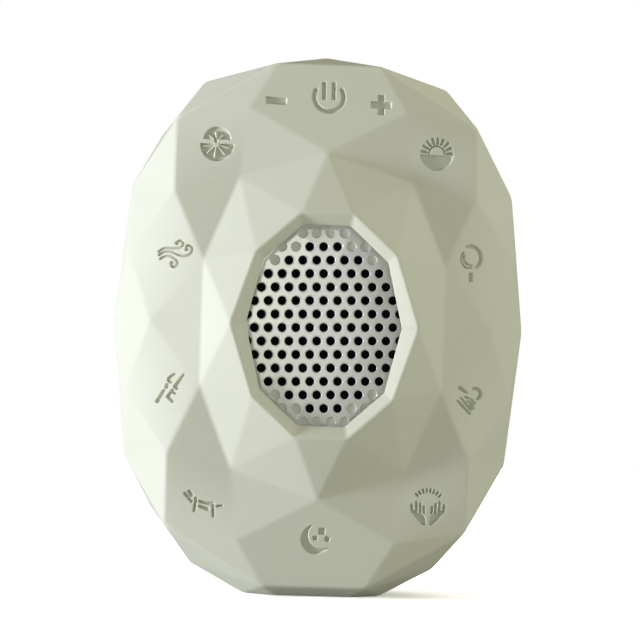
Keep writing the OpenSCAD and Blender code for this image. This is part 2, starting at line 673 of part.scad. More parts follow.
// The speaker's seat and the bosses for the screws, all cut off at the frame's outer surface
module frame_bosses() {
    intersection() {
        front_body(skin_t);
        union() {
            bar([0, 0], cloth_back, gasket_front, speaker_seat_d);
            for (p = speaker_screws_at) bar(p, cloth_back, speaker_boss_top, 5);
            for (p = board_screws_at) bar(p, cloth_back, board_depth, 5.2);
            for (p = case_screws_at) bar(p, cloth_back, board_depth, 6);
        }
    }
}
module front_frame() {
    pocket_w = switch_w + 2 * post_gap;
    color("white") difference() {
        union() {
            frame_wall();
            frame_bosses();
        }
        plate(0, grille_back) opening_outline(grille_lap + fit);
        plate(0, cloth_back) opening_outline(cloth_lap + fit);
        bar([0, 0], 0, split_d, duct_d);
        bar([0, 0], gasket_front, split_d, speaker_d + 2 * screw_gap);
        for (k = keys) {
            bar(post_at(k), 0, split_d, post_d + 2 * post_gap);
            block(post_at(k), switch_top - post_gap, split_d, pocket_w, pocket_w);
        }
        for (p = speaker_screws_at) bar(p, speaker_boss_top, split_d, washer_d + 2 * screw_gap);
        for (p = speaker_screws_at) bar(p, speaker_boss_top - 5, split_d, small_shaft_d);
        for (p = board_screws_at) bar(p, board_depth - screw_hole_reach, split_d, small_shaft_d);
        for (p = case_screws_at) bar(p, board_depth - screw_hole_reach, split_d, case_shaft_d);
    }
}
module rear_shell() {
    color(sage) difference() {
        union() {
            difference() {
                rear_body();
                rear_body(shell_t);
            }
            intersection() {
                rear_body();
                union() {
                    for (p = case_screws_at) bar(p, split_d, body_d, case_boss_d);
                    for (p = charge_screws_at) bar(p, charge_back, body_d, 4.6);
                }
            }
            for (p = case_screws_at) bar(p, board_back, split_d + 0.5, case_boss_d);
        }
        for (p = case_screws_at) {
            bar(p, board_back - 1, body_d, case_screw_d + screw_gap);
            bar(p, case_seat, body_d + 1, case_head_d + 2 * post_gap);
        }
        for (p = charge_screws_at) bar(p, charge_back - 1, body_d - 1, small_shaft_d);
        port_outline(split_d, body_d + 1, fit);
        foot_pad_block(fit);
    }
}
foot_pad_t = 1;
foot_pad_w = foot_w * 0.6;
foot_pad_edge = 2;
module foot_pad_block(grow = 0) {
    translate([-foot_pad_w / 2 - grow, split_d + foot_pad_edge - grow - body_d / 2, 0])
        cube([foot_pad_w + 2 * grow, foot_back - 2 * foot_pad_edge + 2 * grow, foot_pad_t + grow]);
}
module foot_pad() { color([0.55, 0.56, 0.52]) foot_pad_block(); }

// ---- Grille ----
// Rows on each side of the middle one, and holes on each side of a row's middle
rows = 7;
row_holes = 7;
// Edge of the dotted field at a height: wide at the middle, drawn in towards both ends
function field_reach(z) = (opening_w / 2 + 0.3) * (1 - pow(abs(z) / (opening_h / 2 + 2.2), 3));
// Distance from the duct's wall to the centres of the outermost pierced holes
pierced_inset = 0.6;
// A place in the dotted field, as the field is turned and dropped in its opening
function in_field(x, z) = [x * cos(field_turn) - z * sin(field_turn),
    x * sin(field_turn) + z * cos(field_turn) - field_drop];
// The pierced holes in front of the sound duct, or the blind dimples beyond it
module grille_holes(d, from, to, pierced) {
    for (row = [-rows:rows]) for (i = [-row_holes:row_holes]) {
        x = (i + (abs(row) % 2) / 2) * hole_pitch;
        z = row * row_pitch;
        over_duct = norm([x, z]) < duct_d / 2 - pierced_inset;
        if (over_duct == pierced && abs(x) < field_reach(z)) bar(in_field(x, z), from, to, d);
    }
}
module grille() {
    color(grille_grey) difference() {
        plate(grille_front, grille_back) opening_outline(grille_lap);
        grille_holes(hole_d, grille_front - 1, grille_back + 1, true);
        grille_holes(dimple_d, grille_front - 1, grille_front + dimple_depth, false);
    }
}
cloth_lap = grille_lap - 0.6;
module grille_cloth() {
    color(black) plate(grille_back, cloth_back) opening_outline(cloth_lap);
}

// ---- Speaker, on the body's axis; depths in the sections run from the flange's face ----
cone_depth = 5;
cone_t = 0.4;
coil_d = pole_d + 1.6;
throat = duct_d / 2 + 0.4;
roll_r = 1.4;
roll_at = duct_d / 2 - 0.2 - roll_r;
cone_r = roll_at - 1;
module speaker_gasket() {
    color(black) difference() {
        bar([0, 0], gasket_front, seat_depth, speaker_d - 0.4);
        bar([0, 0], gasket_front - 1, seat_depth + 1, duct_d);
    }
}
module speaker_basket() {
    rim_r = speaker_d / 2;
    back_r = magnet_d / 2 - 0.5;
    color(steel) at(0, 0, seat_depth) rotate_extrude() polygon([
        [throat, 0], [rim_r, 0], [rim_r, flange_t], [throat + 0.6, flange_t],
        [back_r + 3, basket_depth - 1], [back_r, basket_depth], [coil_d / 2 + 1, basket_depth],
        [coil_d / 2 + 1, basket_depth - basket_wall], [back_r - 0.4, basket_depth - basket_wall],
        [back_r + 2.4, basket_depth - basket_wall - 1], [throat - 0.4, flange_t],
        [throat - 0.4, 0.6], [throat, 0.6]]);
}
module speaker_cone() {
    color([0.18, 0.18, 0.19]) at(0, 0, seat_depth) rotate_extrude() polygon([
        [cone_r, 0.6], [coil_d / 2, cone_depth], [coil_d / 2, cone_depth + cone_t],
        [cone_r, 0.6 + cone_t]]);
}
// A half roll between the cone's edge and the basket's throat
module speaker_surround() {
    color(black) at(0, 0, seat_depth) rotate_extrude() difference() {
        union() {
            translate([roll_at, 0.6]) circle(r = roll_r);
            translate([cone_r - 0.8, 0.2]) square([throat - cone_r + 0.8, 0.4]);
        }
        translate([roll_at, 0.6]) circle(r = roll_r - 0.4);
        translate([cone_r - 1, 0.6]) square([throat - cone_r + 2, 2 * roll_r]);
    }
}
module dust_cap() {
    color([0.25, 0.25, 0.26]) at(0, 0, seat_depth) rotate_extrude() polygon([
        [0, cone_depth - 2.6], [3, cone_depth - 2.2], [5.4, cone_depth - 1],
        [coil_d / 2 - 0.1, cone_depth], [coil_d / 2 - 0.4, cone_depth + 0.1],
        [5.1, cone_depth - 0.7], [2.9, cone_depth - 1.9], [0, cone_depth - 2.3]]);
}
module speaker_spider() {
    z = cone_depth + 1;
    color([0.75, 0.62, 0.35]) at(0, 0, seat_depth) difference() {
        cylinder(h = z + 0.4, r = 13.5);
        translate([0, 0, -1]) cylinder(h = z + 1, r = 20);
        translate([0, 0, -1]) cylinder(h = z + 3, d = coil_d + 0.5);
    }
}
module voice_coil() {
    color([0.7, 0.4, 0.2]) difference() {
        bar([0, 0], seat_depth + cone_depth + cone_t, magnet_front - 0.3, coil_d + 0.4);
        bar([0, 0], seat_depth, split_d + 5, pole_d + 0.6);
    }
}
module top_plate() {
    color(steel) difference() {
        bar([0, 0], basket_back, magnet_front, magnet_d - 2);
        bar([0, 0], seat_depth, split_d + 5, coil_d + 1.6);
    }
}
module magnet() {
    color([0.2, 0.2, 0.22]) difference() {
        bar([0, 0], magnet_front, magnet_back, magnet_d);
        bar([0, 0], magnet_front - 1, magnet_back + 1, coil_d + 3);
    }
}
module yoke() {
    color(steel) {
        bar([0, 0], magnet_back, magnet_back + plate_t, magnet_d - 2);
        bar([0, 0], basket_back - 0.4, magnet_back + 0.1, pole_d);
    }
}

// ---- Screws: a head with a cross slot, and a shaft towards the front ----
module screw(p, seat, tip, shaft_d, head_d, head_h) {
    difference() {
        union() {
            bar(p, tip, seat + 0.1, shaft_d);
            bar(p, seat, seat + head_h, head_d);
        }
        block(p, seat + head_h * 0.5, seat + head_h + 1, head_d * 0.6, head_d * 0.14);
        block(p, seat + head_h * 0.5, seat + head_h + 1, head_d * 0.14, head_d * 0.6);
    }
}
module small_screw(p, seat, tip) {
    screw(p, seat, tip, small_shaft_d, small_head_d, small_head_h);
}
module speaker_screws() {
    washer_top = speaker_boss_top + washer_t;
    color(steel) for (p = speaker_screws_at) {
        small_screw(p, washer_top, speaker_boss_top - screw_reach);
        bar(p, speaker_boss_top, washer_top, washer_d);
    }
}
module board_screws() {
    color(steel) for (p = board_screws_at) small_screw(p, board_back, board_depth - screw_reach);
}
module case_screws() {
    color(steel) for (p = case_screws_at)
        screw(p, case_seat, board_depth - screw_reach, case_shaft_d, case_head_d, case_head_h);
}

// ---- Main board ----
// The rim's outline t under the facets, as seen from the front
module rim_outline(t) {
    polygon([for (i = numbers(rim_corners))
        let (p = sunk(front_points, front_facets, i, t, split_d - body_d / 2, -body_d / 2, 0))
        [p[0], p[2] - half_h]]);
}
// The board keeps clear of the frame's wall, which leans in by 0.6 mm for each mm of depth
module board_outline(grow = 0) {
    rim_outline(skin_t + frame_t + board_gap + 0.6 * (split_d - board_depth) - grow);
}
module main_board() {
    color(board_green) difference() {
        plate(board_depth, board_back) board_outline();
        bar([0, 0], board_depth - 1, board_back + 1, magnet_d + 8);
        for (p = board_screws_at) bar(p, 0, body_d, small_screw_d + screw_gap);
        for (p = case_screws_at) bar(p, 0, body_d, case_screw_d + screw_gap);
    }
}
// Each switch is a block with a well for its plunger
module switch_bodies() {
    color(black) for (k = keys) difference() {
        block(post_at(k), switch_top, board_depth, switch_w, switch_w);
        bar(post_at(k), switch_top - 1, board_depth - 0.2, plunger_d + 0.2);
    }
}
plunger_hidden = 0.4;
module plunger(name) {
    k = key(name);
    color("gold") bar(post_at(k), post_end, switch_top + plunger_hidden, plunger_d);
}
module key_cap(name) {
    k = key(name);
    color(sage) {
        difference() {
            intersection() {
                front_body();
                bar(key_at(k), -1, split_d, k[3]);
            }
            front_body(key_t);
            difference() {
                plate(-1, split_d) translate(key_at(k)) symbol(name);
                front_body(symbol_depth);
            }
        }
        intersection() {
            front_body(symbol_depth + 0.3);
            bar(post_at(k), 0, post_end, post_d);
        }
    }
}

// ---- Parts on the main board's back, placed by shares of the half width and half height ----
function share(x, z) = [x * half_w, z * half_h];
controller_at = share(0.42, 0.5);
amplifier_at = share(-0.45, -0.5);
memory_at = share(0.2, 0.76);
crystal_at = share(0.25, 0.62);
capacitor_at = share(-0.62, -0.3);
resistors_at = share(-0.33, 0.76);
filters_at = share(-0.375, -0.72);
connectors_at = [share(-0.125, -0.46), share(0.3, -0.46), share(0.07, -0.73)];
connector_h = 4;
// A square chip of a width and height
module chip(p, w, h) { color(black) block(p, board_back, board_back + h, w, w); }
module controller_chip() { chip(controller_at, 7, 1.2); }
module amplifier_chip() { chip(amplifier_at, 5, 1); }
module sound_memory() { chip(memory_at, 5.3, 1.6); }
// Rows of small parts, a crystal and an electrolytic capacitor
module board_passives() {
    color([0.65, 0.55, 0.4]) {
        for (i = [0:5]) block(resistors_at + [i * 2.6, 0], board_back, board_back + 0.8, 1, 1.8);
        for (i = [0:3]) block(filters_at + [i * 3, 0], board_back, board_back + 1, 1.4, 2.2);
        bar(crystal_at, board_back, board_back + 3.2, 3.4);
        bar(capacitor_at, board_back, board_back + 4.6, 5);
    }
}
module board_connectors() {
    color("white") for (c = connectors_at) difference() {
        block(c, board_back, board_back + connector_h, 6, 4.4);
        block(c, board_back + 1, board_back + connector_h + 1, 4.8, 3.2);
    }
}

// ---- Battery and charging port, carried by the rear shell ----
battery_up = 0.07 * half_h;
module battery_cell() {
    color([0.6, 0.65, 0.75]) difference() {
        block([0, battery_up], battery_back - battery_t, battery_back, battery_w, battery_h);
        for (s = [-1, 1]) block([s * battery_w / 2, battery_up + battery_h / 2],
            battery_back - battery_t - 1, battery_back + 1, 6, 3);
    }
}
module battery_pad() {
    color([0.9, 0.9, 0.85])
        block([0, battery_up], battery_back, body_d - shell_t, battery_w - 6, battery_h - 8);
}
module port_outline(from, to, grow) {
    r = port_h / 2 + grow;
    plate(from, to) translate([0, -port_drop]) {
        translate([-port_w / 2 + port_h / 2, -r]) square([port_w - port_h, 2 * r]);
        for (s = [-1, 1]) translate([s * (port_w - port_h) / 2, 0]) circle(r = r);
    }
}
module charge_board() {
    color(board_green) difference() {
        block([0, -port_drop], charge_front, charge_back, 22, 11);
        for (p = charge_screws_at) bar(p, 0, body_d, small_screw_d + screw_gap);
    }
}
module charge_screws() {
    color(steel) for (p = charge_screws_at) mirror_depth(charge_front)
        small_screw(p, charge_front, charge_front - board_t - screw_reach);
}
// Turns children about a plane of constant depth
module mirror_depth(depth) {
    translate([0, 2 * (depth - body_d / 2), 0]) mirror([0, 1, 0]) children();
}
port_wall = 0.3;
port_floor = 0.8;
module port_shell() {
    color(steel) difference() {
        port_outline(charge_back, charge_back + port_depth, 0);
        port_outline(charge_back + port_floor, body_d, -port_wall);
    }
}
module port_tongue() {
    color(black) block([0, -port_drop], charge_back + port_floor, charge_back + port_depth - port_floor,
        port_w - 2.4, 0.7);
}

// ---- Leads inside the case, in straight runs ----
lead_d = 1;
lead_gap = 1.6;
// A run of lead along one of the frame's axes, from one point to another, with square ends
module lead_run(a, b) {
    low = [for (i = [0:2]) min(a[i], b[i]) - lead_d / 2];
    size = [for (i = [0:2]) abs(a[i] - b[i]) + lead_d];
    translate(low) cube(size);
}
// Two leads side by side through a list of points
module lead_pair(points) {
    for (s = [-1, 1]) for (i = [0:len(points) - 2])
        translate([s * lead_gap / 2, 0, 0]) lead_run(place(points[i]), place(points[i + 1]));
}
lead_level = board_back + connector_h + 1.5;
module speaker_leads() {
    c = connectors_at[0];
    start = -magnet_d / 2 - 1.2;
    color("firebrick") lead_pair([
        [c[0], start, basket_back],
        [c[0], start, lead_level],
        [c[0], c[1], lead_level],
        [c[0], c[1], board_back + 1.5]]);
}
module battery_leads() {
    c = connectors_at[1];
    color("firebrick") lead_pair([
        [c[0], battery_up - battery_h / 2 - lead_d / 2, battery_back - battery_t / 2],
        [c[0], c[1], battery_back - battery_t / 2],
        [c[0], c[1], board_back + 1.5]]);
}
module charge_leads() {
    c = connectors_at[2];
    color("firebrick") lead_pair([
        [c[0], -port_drop, charge_front - lead_d / 2],
        [c[0], -port_drop, lead_level],
        [c[0], c[1], lead_level],
        [c[0], c[1], board_back + 1.5]]);
}

front_skin();
front_frame();
rear_shell();
foot_pad();
grille();
grille_cloth();
speaker_gasket();
speaker_basket();
speaker_cone();
speaker_surround();
dust_cap();
speaker_spider();
voice_coil();
top_plate();
magnet();
yoke();
speaker_screws();
main_board();
switch_bodies();
board_screws();
case_screws();
key_cap("power");  // key_power
key_cap("minus");  // key_minus
key_cap("plus");  // key_plus
key_cap("sunrise");  // key_sunrise
key_cap("gong");  // key_gong
key_cap("heart");  // key_heart
key_cap("hands");  // key_hands
key_cap("moon");  // key_moon
key_cap("walker");  // key_walker
key_cap("sleeper");  // key_sleeper
key_cap("wind");  // key_wind
key_cap("citrus");  // key_citrus
plunger("power");  // plunger_power
plunger("minus");  // plunger_minus
plunger("plus");  // plunger_plus
plunger("sunrise");  // plunger_sunrise
plunger("gong");  // plunger_gong
plunger("heart");  // plunger_heart
plunger("hands");  // plunger_hands
plunger("moon");  // plunger_moon
plunger("walker");  // plunger_walker
plunger("sleeper");  // plunger_sleeper
plunger("wind");  // plunger_wind
plunger("citrus");  // plunger_citrus
controller_chip();
amplifier_chip();
sound_memory();
board_passives();
board_connectors();
battery_cell();
battery_pad();
charge_board();
charge_screws();
port_shell();
port_tongue();
speaker_leads();
battery_leads();
charge_leads();
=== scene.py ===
# %% [markdown]
# # A faceted sound machine
# The object is a bedside sound machine: a soft silicone skin with flat facets, twelve press
# keys with sunk symbols, and a perforated grille in the middle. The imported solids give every
# place and size. This lesson dresses them: it replaces the visible shells by meshes with
# rounded folds, and gives each part its finish.

# %% Load the solids
import json
import math
import bmesh
import bpy
import numpy as np
from mathutils import Matrix, Vector
from mathutils.bvhtree import BVHTree


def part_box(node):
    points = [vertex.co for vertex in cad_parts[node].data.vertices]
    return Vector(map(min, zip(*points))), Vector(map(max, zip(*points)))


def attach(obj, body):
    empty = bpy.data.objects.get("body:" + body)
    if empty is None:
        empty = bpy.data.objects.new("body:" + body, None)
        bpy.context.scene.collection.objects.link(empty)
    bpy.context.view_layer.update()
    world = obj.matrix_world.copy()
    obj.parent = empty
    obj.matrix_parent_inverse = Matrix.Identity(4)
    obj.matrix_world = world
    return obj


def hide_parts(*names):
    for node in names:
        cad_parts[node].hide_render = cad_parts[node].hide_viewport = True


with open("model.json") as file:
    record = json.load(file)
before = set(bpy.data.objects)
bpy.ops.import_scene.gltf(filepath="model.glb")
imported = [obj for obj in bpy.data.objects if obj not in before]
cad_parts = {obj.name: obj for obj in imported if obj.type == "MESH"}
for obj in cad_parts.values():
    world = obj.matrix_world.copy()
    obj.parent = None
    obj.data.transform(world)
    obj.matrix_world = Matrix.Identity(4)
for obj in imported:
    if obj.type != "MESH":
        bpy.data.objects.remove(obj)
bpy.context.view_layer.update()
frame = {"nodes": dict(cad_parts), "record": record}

# %% [markdown]
# ## Sizes
# The facets' corners are shares of the half width, the half height and the depth in front of
# the joint between the skin and the rear shell, or behind it. Lengths are in millimetres, so
# that they read like a drawing, and `place` turns a point of the drawing into metres.

# %% Sizes of the body
MM = 0.001
HALF_W, HALF_H, SPLIT, DEPTH = 48.0, 63.0, 20.0, 42.0
FOOT_HALF, FOOT_FRONT, FOOT_BACK = 16.0, 5.0, 9.0
OPENING_W, OPENING_H = 18.0, 23.1
SURROUND_W, SURROUND_H, SURROUND_DROP = 21.7, 25.8, 2.0
GRILLE_FRONT, GRILLE_T = 2.4, 0.8


def place(across, up, depth):
    """A point of the drawing, in the frame of the solids and in metres."""
    return Vector((across, depth - DEPTH / 2, up + HALF_H)) * MM


# %% The corners of one quarter, front and rear
CROWN, BROW = (0.637, 0.325), (0.963, 0.53)
TEMPLE_UP = 0.794
TEMPLE_DEPTH = CROWN[1] + (BROW[1] - CROWN[1]) * (TEMPLE_UP - CROWN[0]) / (BROW[0] - CROWN[0])


def scaled(start, depth, **shares):
    """Corners from shares of the half width, the half height and a depth beyond start."""
    return {name: (u * HALF_W, v * HALF_H, start + w * depth) for name, (u, v, w) in shares.items()}


RIM_CORNERS = scaled(0, SPLIT, rim_end=(0, 1, 1), rim_upper=(0.594, 0.895, 1),
                     rim_lower=(0.931, 0.503, 1), rim_side=(1, 0, 1))
RIM_CORNERS["foot_side"] = (FOOT_HALF, HALF_H, SPLIT)
FRONT = scaled(0, SPLIT, crest_end=(0, *CROWN), crest_diagonal=(0.419, 0.535, 0.465),
               crest_side=(0.583, 0.229, 0.325), temple=(0.381, TEMPLE_UP, TEMPLE_DEPTH),
               belt_diagonal=(0.733, 0.483, 0.465), belt_side=(0.831, 0, 0.565),
               brow=(0.252, *BROW), shoulder=(0.731, 0.749, 0.57), hip=(0.942, 0.259, 0.85))
FRONT.update(RIM_CORNERS, ring_end=(SURROUND_W * 0.276, SURROUND_H, 0),
             ring_diagonal=(SURROUND_W * 0.747, SURROUND_H * 0.643, 0), ring_side=(SURROUND_W, 0, 0),
             foot_front=(FOOT_HALF * 0.56, HALF_H, SPLIT - FOOT_FRONT))
BACK = scaled(SPLIT, DEPTH - SPLIT, middle_end=(0.33, 0.9, 0.6), middle_diagonal=(0.79, 0.7, 0.5),
              middle_side=(0.95, 0.25, 0.5), back_end=(0, 0.76, 1), back_diagonal=(0.42, 0.64, 1),
              back_side=(0.7, 0.27, 1))
BACK.update(RIM_CORNERS, foot_back=(FOOT_HALF * 0.68, HALF_H, SPLIT + FOOT_BACK))
print("corners in a quarter: front", len(FRONT), "rear", len(BACK))


# %% [markdown]
# ## Facets with soft folds
# A moulded silicone skin has flat facets, but no fold is knife-sharp. A subdivided surface would
# round the facets too, and a bump in the material would leave the outline hard. So the facets
# are joined into one sheet, and every fold between two of them is bevelled to a small round,
# the rim to a smaller one, by a bevel weight on each edge. Two facets of each quarter are
# slightly twisted in the real skin. They are made as curved patches, a grid that runs straight
# from edge to edge. A neighbour shares the patch's edge points, so the sheet stays closed.

# %% A sheet from facets and patches
PATCH_STEPS = 6
ALONG = [i / PATCH_STEPS for i in range(PATCH_STEPS + 1)]  # where a patch's points lie on its edges
FOLD_RADIUS, RIM_RADIUS = 0.55, 0.25


def signed(table, *corners):
    """A face from corners given as (name, side across, side up)."""
    return [place(table[n][0] * sx, table[n][1] * sz, table[n][2]) for n, sx, sz in corners]


def quarters(table, faces):
    """Repeats faces named in one quarter in all four quarters."""
    return [signed(table, *[(name, sx, sz) for name in face])
            for sx, sz in ((1, 1), (-1, 1), (-1, -1), (1, -1)) for face in faces]


def key_of(point):
    """A point's coordinates, rounded so that equal corners are found again."""
    return tuple(round(c, 7) for c in point)


def sheet_mesh(facets, patches, lip, walls=()):
    """One bmesh of numbered facets and patches. The lip is -1 and the walls run on below it."""
    shared = {}
    for p in patches:
        for a, b in zip(p, p[1:] + p[:1]):
            shared[key_of(a), key_of(b)] = [a.lerp(b, s) for s in ALONG[1:-1]]
            shared[key_of(b), key_of(a)] = [b.lerp(a, s) for s in ALONG[1:-1]]
    bm = bmesh.new()
    number = bm.faces.layers.int.new("facet")
    made = {}

    def vertex(point):
        k = key_of(point)
        if k not in made:
            made[k] = bm.verts.new(point)
        return made[k]

    small = [(-1, face) for face in lip] + [(-2 - i, face) for i, face in enumerate(walls)]
    for i, facet in list(enumerate(facets)) + small:
        loop = []
        for a, b in zip(facet, facet[1:] + facet[:1]):
            loop.append(vertex(a))
            loop += [vertex(q) for q in shared.get((key_of(a), key_of(b)), [])]
        bm.faces.new(loop)[number] = i
    for i, (a, b, c, d) in enumerate(patches):
        grid = [[vertex(a.lerp(b, s).lerp(d.lerp(c, s), t)) for s in ALONG] for t in ALONG]
        for low, high in zip(grid, grid[1:]):
            for s in range(PATCH_STEPS):
                face = bm.faces.new((low[s], low[s + 1], high[s + 1], high[s]))
                face[number] = len(facets) + i
    bmesh.ops.recalc_face_normals(bm, faces=bm.faces)
    return bm


def mark_folds(bm, least_turn=math.radians(2)):
    """Weighs each fold that turns enough, from end to end, and the lip's and walls' folds less."""
    number = bm.faces.layers.int["facet"]
    weight = bm.edges.layers.float.new("bevel_weight_edge")
    pairs = {}
    for e in bm.edges:
        if len(e.link_faces) == 2:
            pair = tuple(sorted(f[number] for f in e.link_faces))
            if pair[0] != pair[1]:
                pairs.setdefault(pair, []).append(e)
    for pair, edges in pairs.items():
        if max(e.calc_face_angle(0) for e in edges) > least_turn:
            for e in edges:
                e[weight] = RIM_RADIUS / FOLD_RADIUS if pair[0] < 0 else 1


def rounded(bm, name):
    """Bevels the marked folds and gives the sheet back."""
    mark_folds(bm)
    obj = object_from(bm, name)
    bevel = obj.modifiers.new("folds", "BEVEL")
    bevel.width, bevel.segments, bevel.limit_method = FOLD_RADIUS * MM, 4, "WEIGHT"
    apply_modifiers(obj)
    out = bmesh.new()
    out.from_mesh(obj.data)
    bpy.data.objects.remove(obj)
    print(name, "faces after rounding:", len(out.faces))
    return out


# %% [markdown]
# ## From a sheet to a shell
# A sheet has no thickness. A Solidify modifier would tilt the rim out of the plane of the
# joint, so the vertices are copied inwards by code and the two borders are joined, which makes
# a closed shell. The holes for the keys are then cut out of it: Blender's manifold boolean is
# quick, and keeps every face flat.

# %% Shells, cuts and finished pieces
def flip_outwards(bm, centre):
    """Turns the sheet's normals away from a point inside the body."""
    face = max(bm.faces, key=lambda f: f.calc_area())
    if face.normal.dot(face.calc_center_median() - centre) < 0:
        bmesh.ops.reverse_faces(bm, faces=bm.faces)


def thicken(bm, thickness, flat_y):
    """Closes a sheet into a shell, in metres. Vertices at flat_y move within that plane only."""
    bm.normal_update()
    inner = {}
    for v in list(bm.verts):
        step = v.normal * -thickness
        if abs(v.co.y - flat_y) < 1e-6:
            step = Vector((step.x, 0, step.z)).normalized() * thickness
        inner[v] = bm.verts.new(v.co + step)
    sides = [(loop.link_loop_next.vert, loop.vert)
             for e in bm.edges if e.is_boundary for loop in e.link_loops]
    for face in list(bm.faces):
        bm.faces.new([inner[v] for v in reversed(face.verts)])
    for a, b in sides:
        bm.faces.new((a, b, inner[b], inner[a]))


def object_from(bm, name):
    """Makes a Blender object from a bmesh and frees the bmesh."""
    mesh = bpy.data.meshes.new(name)
    bm.to_mesh(mesh)
    bm.free()
    obj = bpy.data.objects.new(name, mesh)
    bpy.context.scene.collection.objects.link(obj)
    return obj


def closed_object(bm, name):
    """An object from closed shells, with all faces turned outwards."""
    bmesh.ops.recalc_face_normals(bm, faces=bm.faces)
    return object_from(bm, name)


def apply_modifiers(obj):
    """Bakes the modifiers into the mesh."""
    graph = bpy.context.evaluated_depsgraph_get()
    mesh = bpy.data.meshes.new_from_object(obj.evaluated_get(graph), depsgraph=graph)
    obj.modifiers.clear()
    obj.data = mesh
    return obj


def cut(obj, tool, operation="DIFFERENCE"):
    """Cuts a tool out of obj and removes it."""
    modifier = obj.modifiers.new("cut", "BOOLEAN")
    modifier.operation = operation
    modifier.solver = "MANIFOLD"
    modifier.object = tool
    apply_modifiers(obj)
    bpy.data.objects.remove(tool)
    return obj


def smooth(obj, sharp=math.radians(32)):
    """Smooth shading that keeps facets flat: large faces rule the normals at their folds."""
    obj.data.shade_smooth()
    obj.data.set_sharp_from_angle(angle=sharp)
    weighted = obj.modifiers.new("weighted", "WEIGHTED_NORMAL")
    weighted.keep_sharp = True
    weighted.weight = 100
    return apply_modifiers(obj)


def bridged(bm, rings):
    """Joins rings of vertices into a body with a cap at each end."""
    for a, b in zip(rings, rings[1:]):
        for i in range(len(a)):
            j = (i + 1) % len(a)
            bm.faces.new((a[i], a[j], b[j], b[i]))
    bm.faces.new(rings[0][::-1])
    bm.faces.new(rings[-1])


def turned(bm, across, up, profile, sides=40):
    """A closed turned body from (radius, depth) pairs, along the depth of the drawing."""
    turns = [2 * math.pi * i / sides for i in range(sides)]
    bridged(bm, [[bm.verts.new(place(across + r * math.cos(t), up + r * math.sin(t), d)) for t in turns]
                 for r, d in profile])


# %% [markdown]
# ## The front skin
# The skin covers the whole front, from the sloping surround of the grille to the joint with
# the rear shell. Its crests, belts and shoulders are alike in all four quarters. A Mirror
# modifier would split the facets that cross from one quarter to the next, so the corners are
# listed once, code repeats them, and only the crossing facets are listed apart.

# %% The front skin's sheet
FRONT_FACETS = [
    ("ring_end", "ring_diagonal", "crest_diagonal"), ("ring_end", "crest_diagonal", "crest_end"),
    ("ring_diagonal", "ring_side", "crest_side"), ("ring_diagonal", "crest_side", "crest_diagonal"),
    ("crest_end", "crest_diagonal", "temple"), ("temple", "shoulder", "brow"),
    ("crest_diagonal", "crest_side", "belt_diagonal"), ("belt_diagonal", "hip", "rim_lower"),
    ("belt_diagonal", "rim_lower", "shoulder"), ("shoulder", "rim_lower", "rim_upper"),
    ("shoulder", "rim_upper", "brow"), ("hip", "rim_side", "rim_lower"),
    ("belt_side", "rim_side", "hip"),
]
FRONT_PATCHES = [
    ("temple", "crest_diagonal", "belt_diagonal", "shoulder"),
    ("belt_diagonal", "crest_side", "belt_side", "hip"),
]
OPENING = [(0.305, 1), (0.8, 0.65), (1, 0)]
RING = ["ring_end", "ring_diagonal", "ring_side"]
# The ten corners of the opening in turn: which one of a quarter, its side across and up.
TURNS = [(0, 1, 1), (1, 1, 1), (2, 1, 1), (1, 1, -1), (0, 1, -1),
         (0, -1, -1), (1, -1, -1), (2, -1, 1), (1, -1, 1), (0, -1, 1)]
LIP, SKIN_T = 1.2, 1.8


def opening_point(i, sx, sz, depth, grow=0):
    """A corner of the opening, or of its outline after that has grown."""
    u, v = OPENING[i]
    return place(u * (OPENING_W + grow) * sx, v * (OPENING_H + grow) * sz, depth)


def surround_faces():
    """The faces of the sloping surround, and those of the straight wall down to the grille."""
    slopes, walls = [], []
    for here, after in zip(TURNS, TURNS[1:] + TURNS[:1]):
        outer = signed(FRONT, *[(RING[i], sx, sz) for i, sx, sz in (here, after)])
        edge, deep = [[opening_point(*here, depth), opening_point(*after, depth)]
                      for depth in (SURROUND_DROP, GRILLE_FRONT)]
        slopes.append(outer + edge[::-1])
        walls.append(edge + deep[::-1])
    return slopes, walls


def crossing_faces():
    """Front facets that cross from one quarter to the next."""
    faces = []
    for sz in (1, -1):
        faces += [[("ring_end", 1, sz), ("ring_end", -1, sz), ("crest_end", 1, sz)],
                  [("crest_end", 1, sz), ("temple", 1, sz), ("brow", 1, sz), ("brow", -1, sz),
                   ("temple", -1, sz)]]
    for sx in (1, -1):
        faces += [[("ring_side", sx, 1), ("crest_side", sx, 1), ("crest_side", sx, -1)],
                  [("crest_side", sx, 1), ("belt_side", sx, 1), ("crest_side", sx, -1)],
                  [("brow", sx, 1), ("rim_upper", sx, 1), ("rim_end", 1, 1)],
                  [("brow", sx, -1), ("rim_upper", sx, -1), ("foot_side", sx, -1)],
                  [("brow", sx, -1), ("foot_side", sx, -1), ("foot_front", sx, -1)]]
    faces += [[("brow", 1, 1), ("rim_end", 1, 1), ("brow", -1, 1)],
              [("brow", 1, -1), ("foot_front", 1, -1), ("foot_front", -1, -1), ("brow", -1, -1)],
              [("foot_side", 1, -1), ("foot_side", -1, -1), ("foot_front", -1, -1),
               ("foot_front", 1, -1)]]
    return [signed(FRONT, *face) for face in faces]


RIM = [("rim_side", 1, 1), ("rim_lower", 1, 1), ("rim_upper", 1, 1), ("rim_end", 1, 1),
       ("rim_upper", -1, 1), ("rim_lower", -1, 1), ("rim_side", -1, 1), ("rim_lower", -1, -1),
       ("rim_upper", -1, -1), ("foot_side", -1, -1), ("foot_side", 1, -1), ("rim_upper", 1, -1),
       ("rim_lower", 1, -1)]


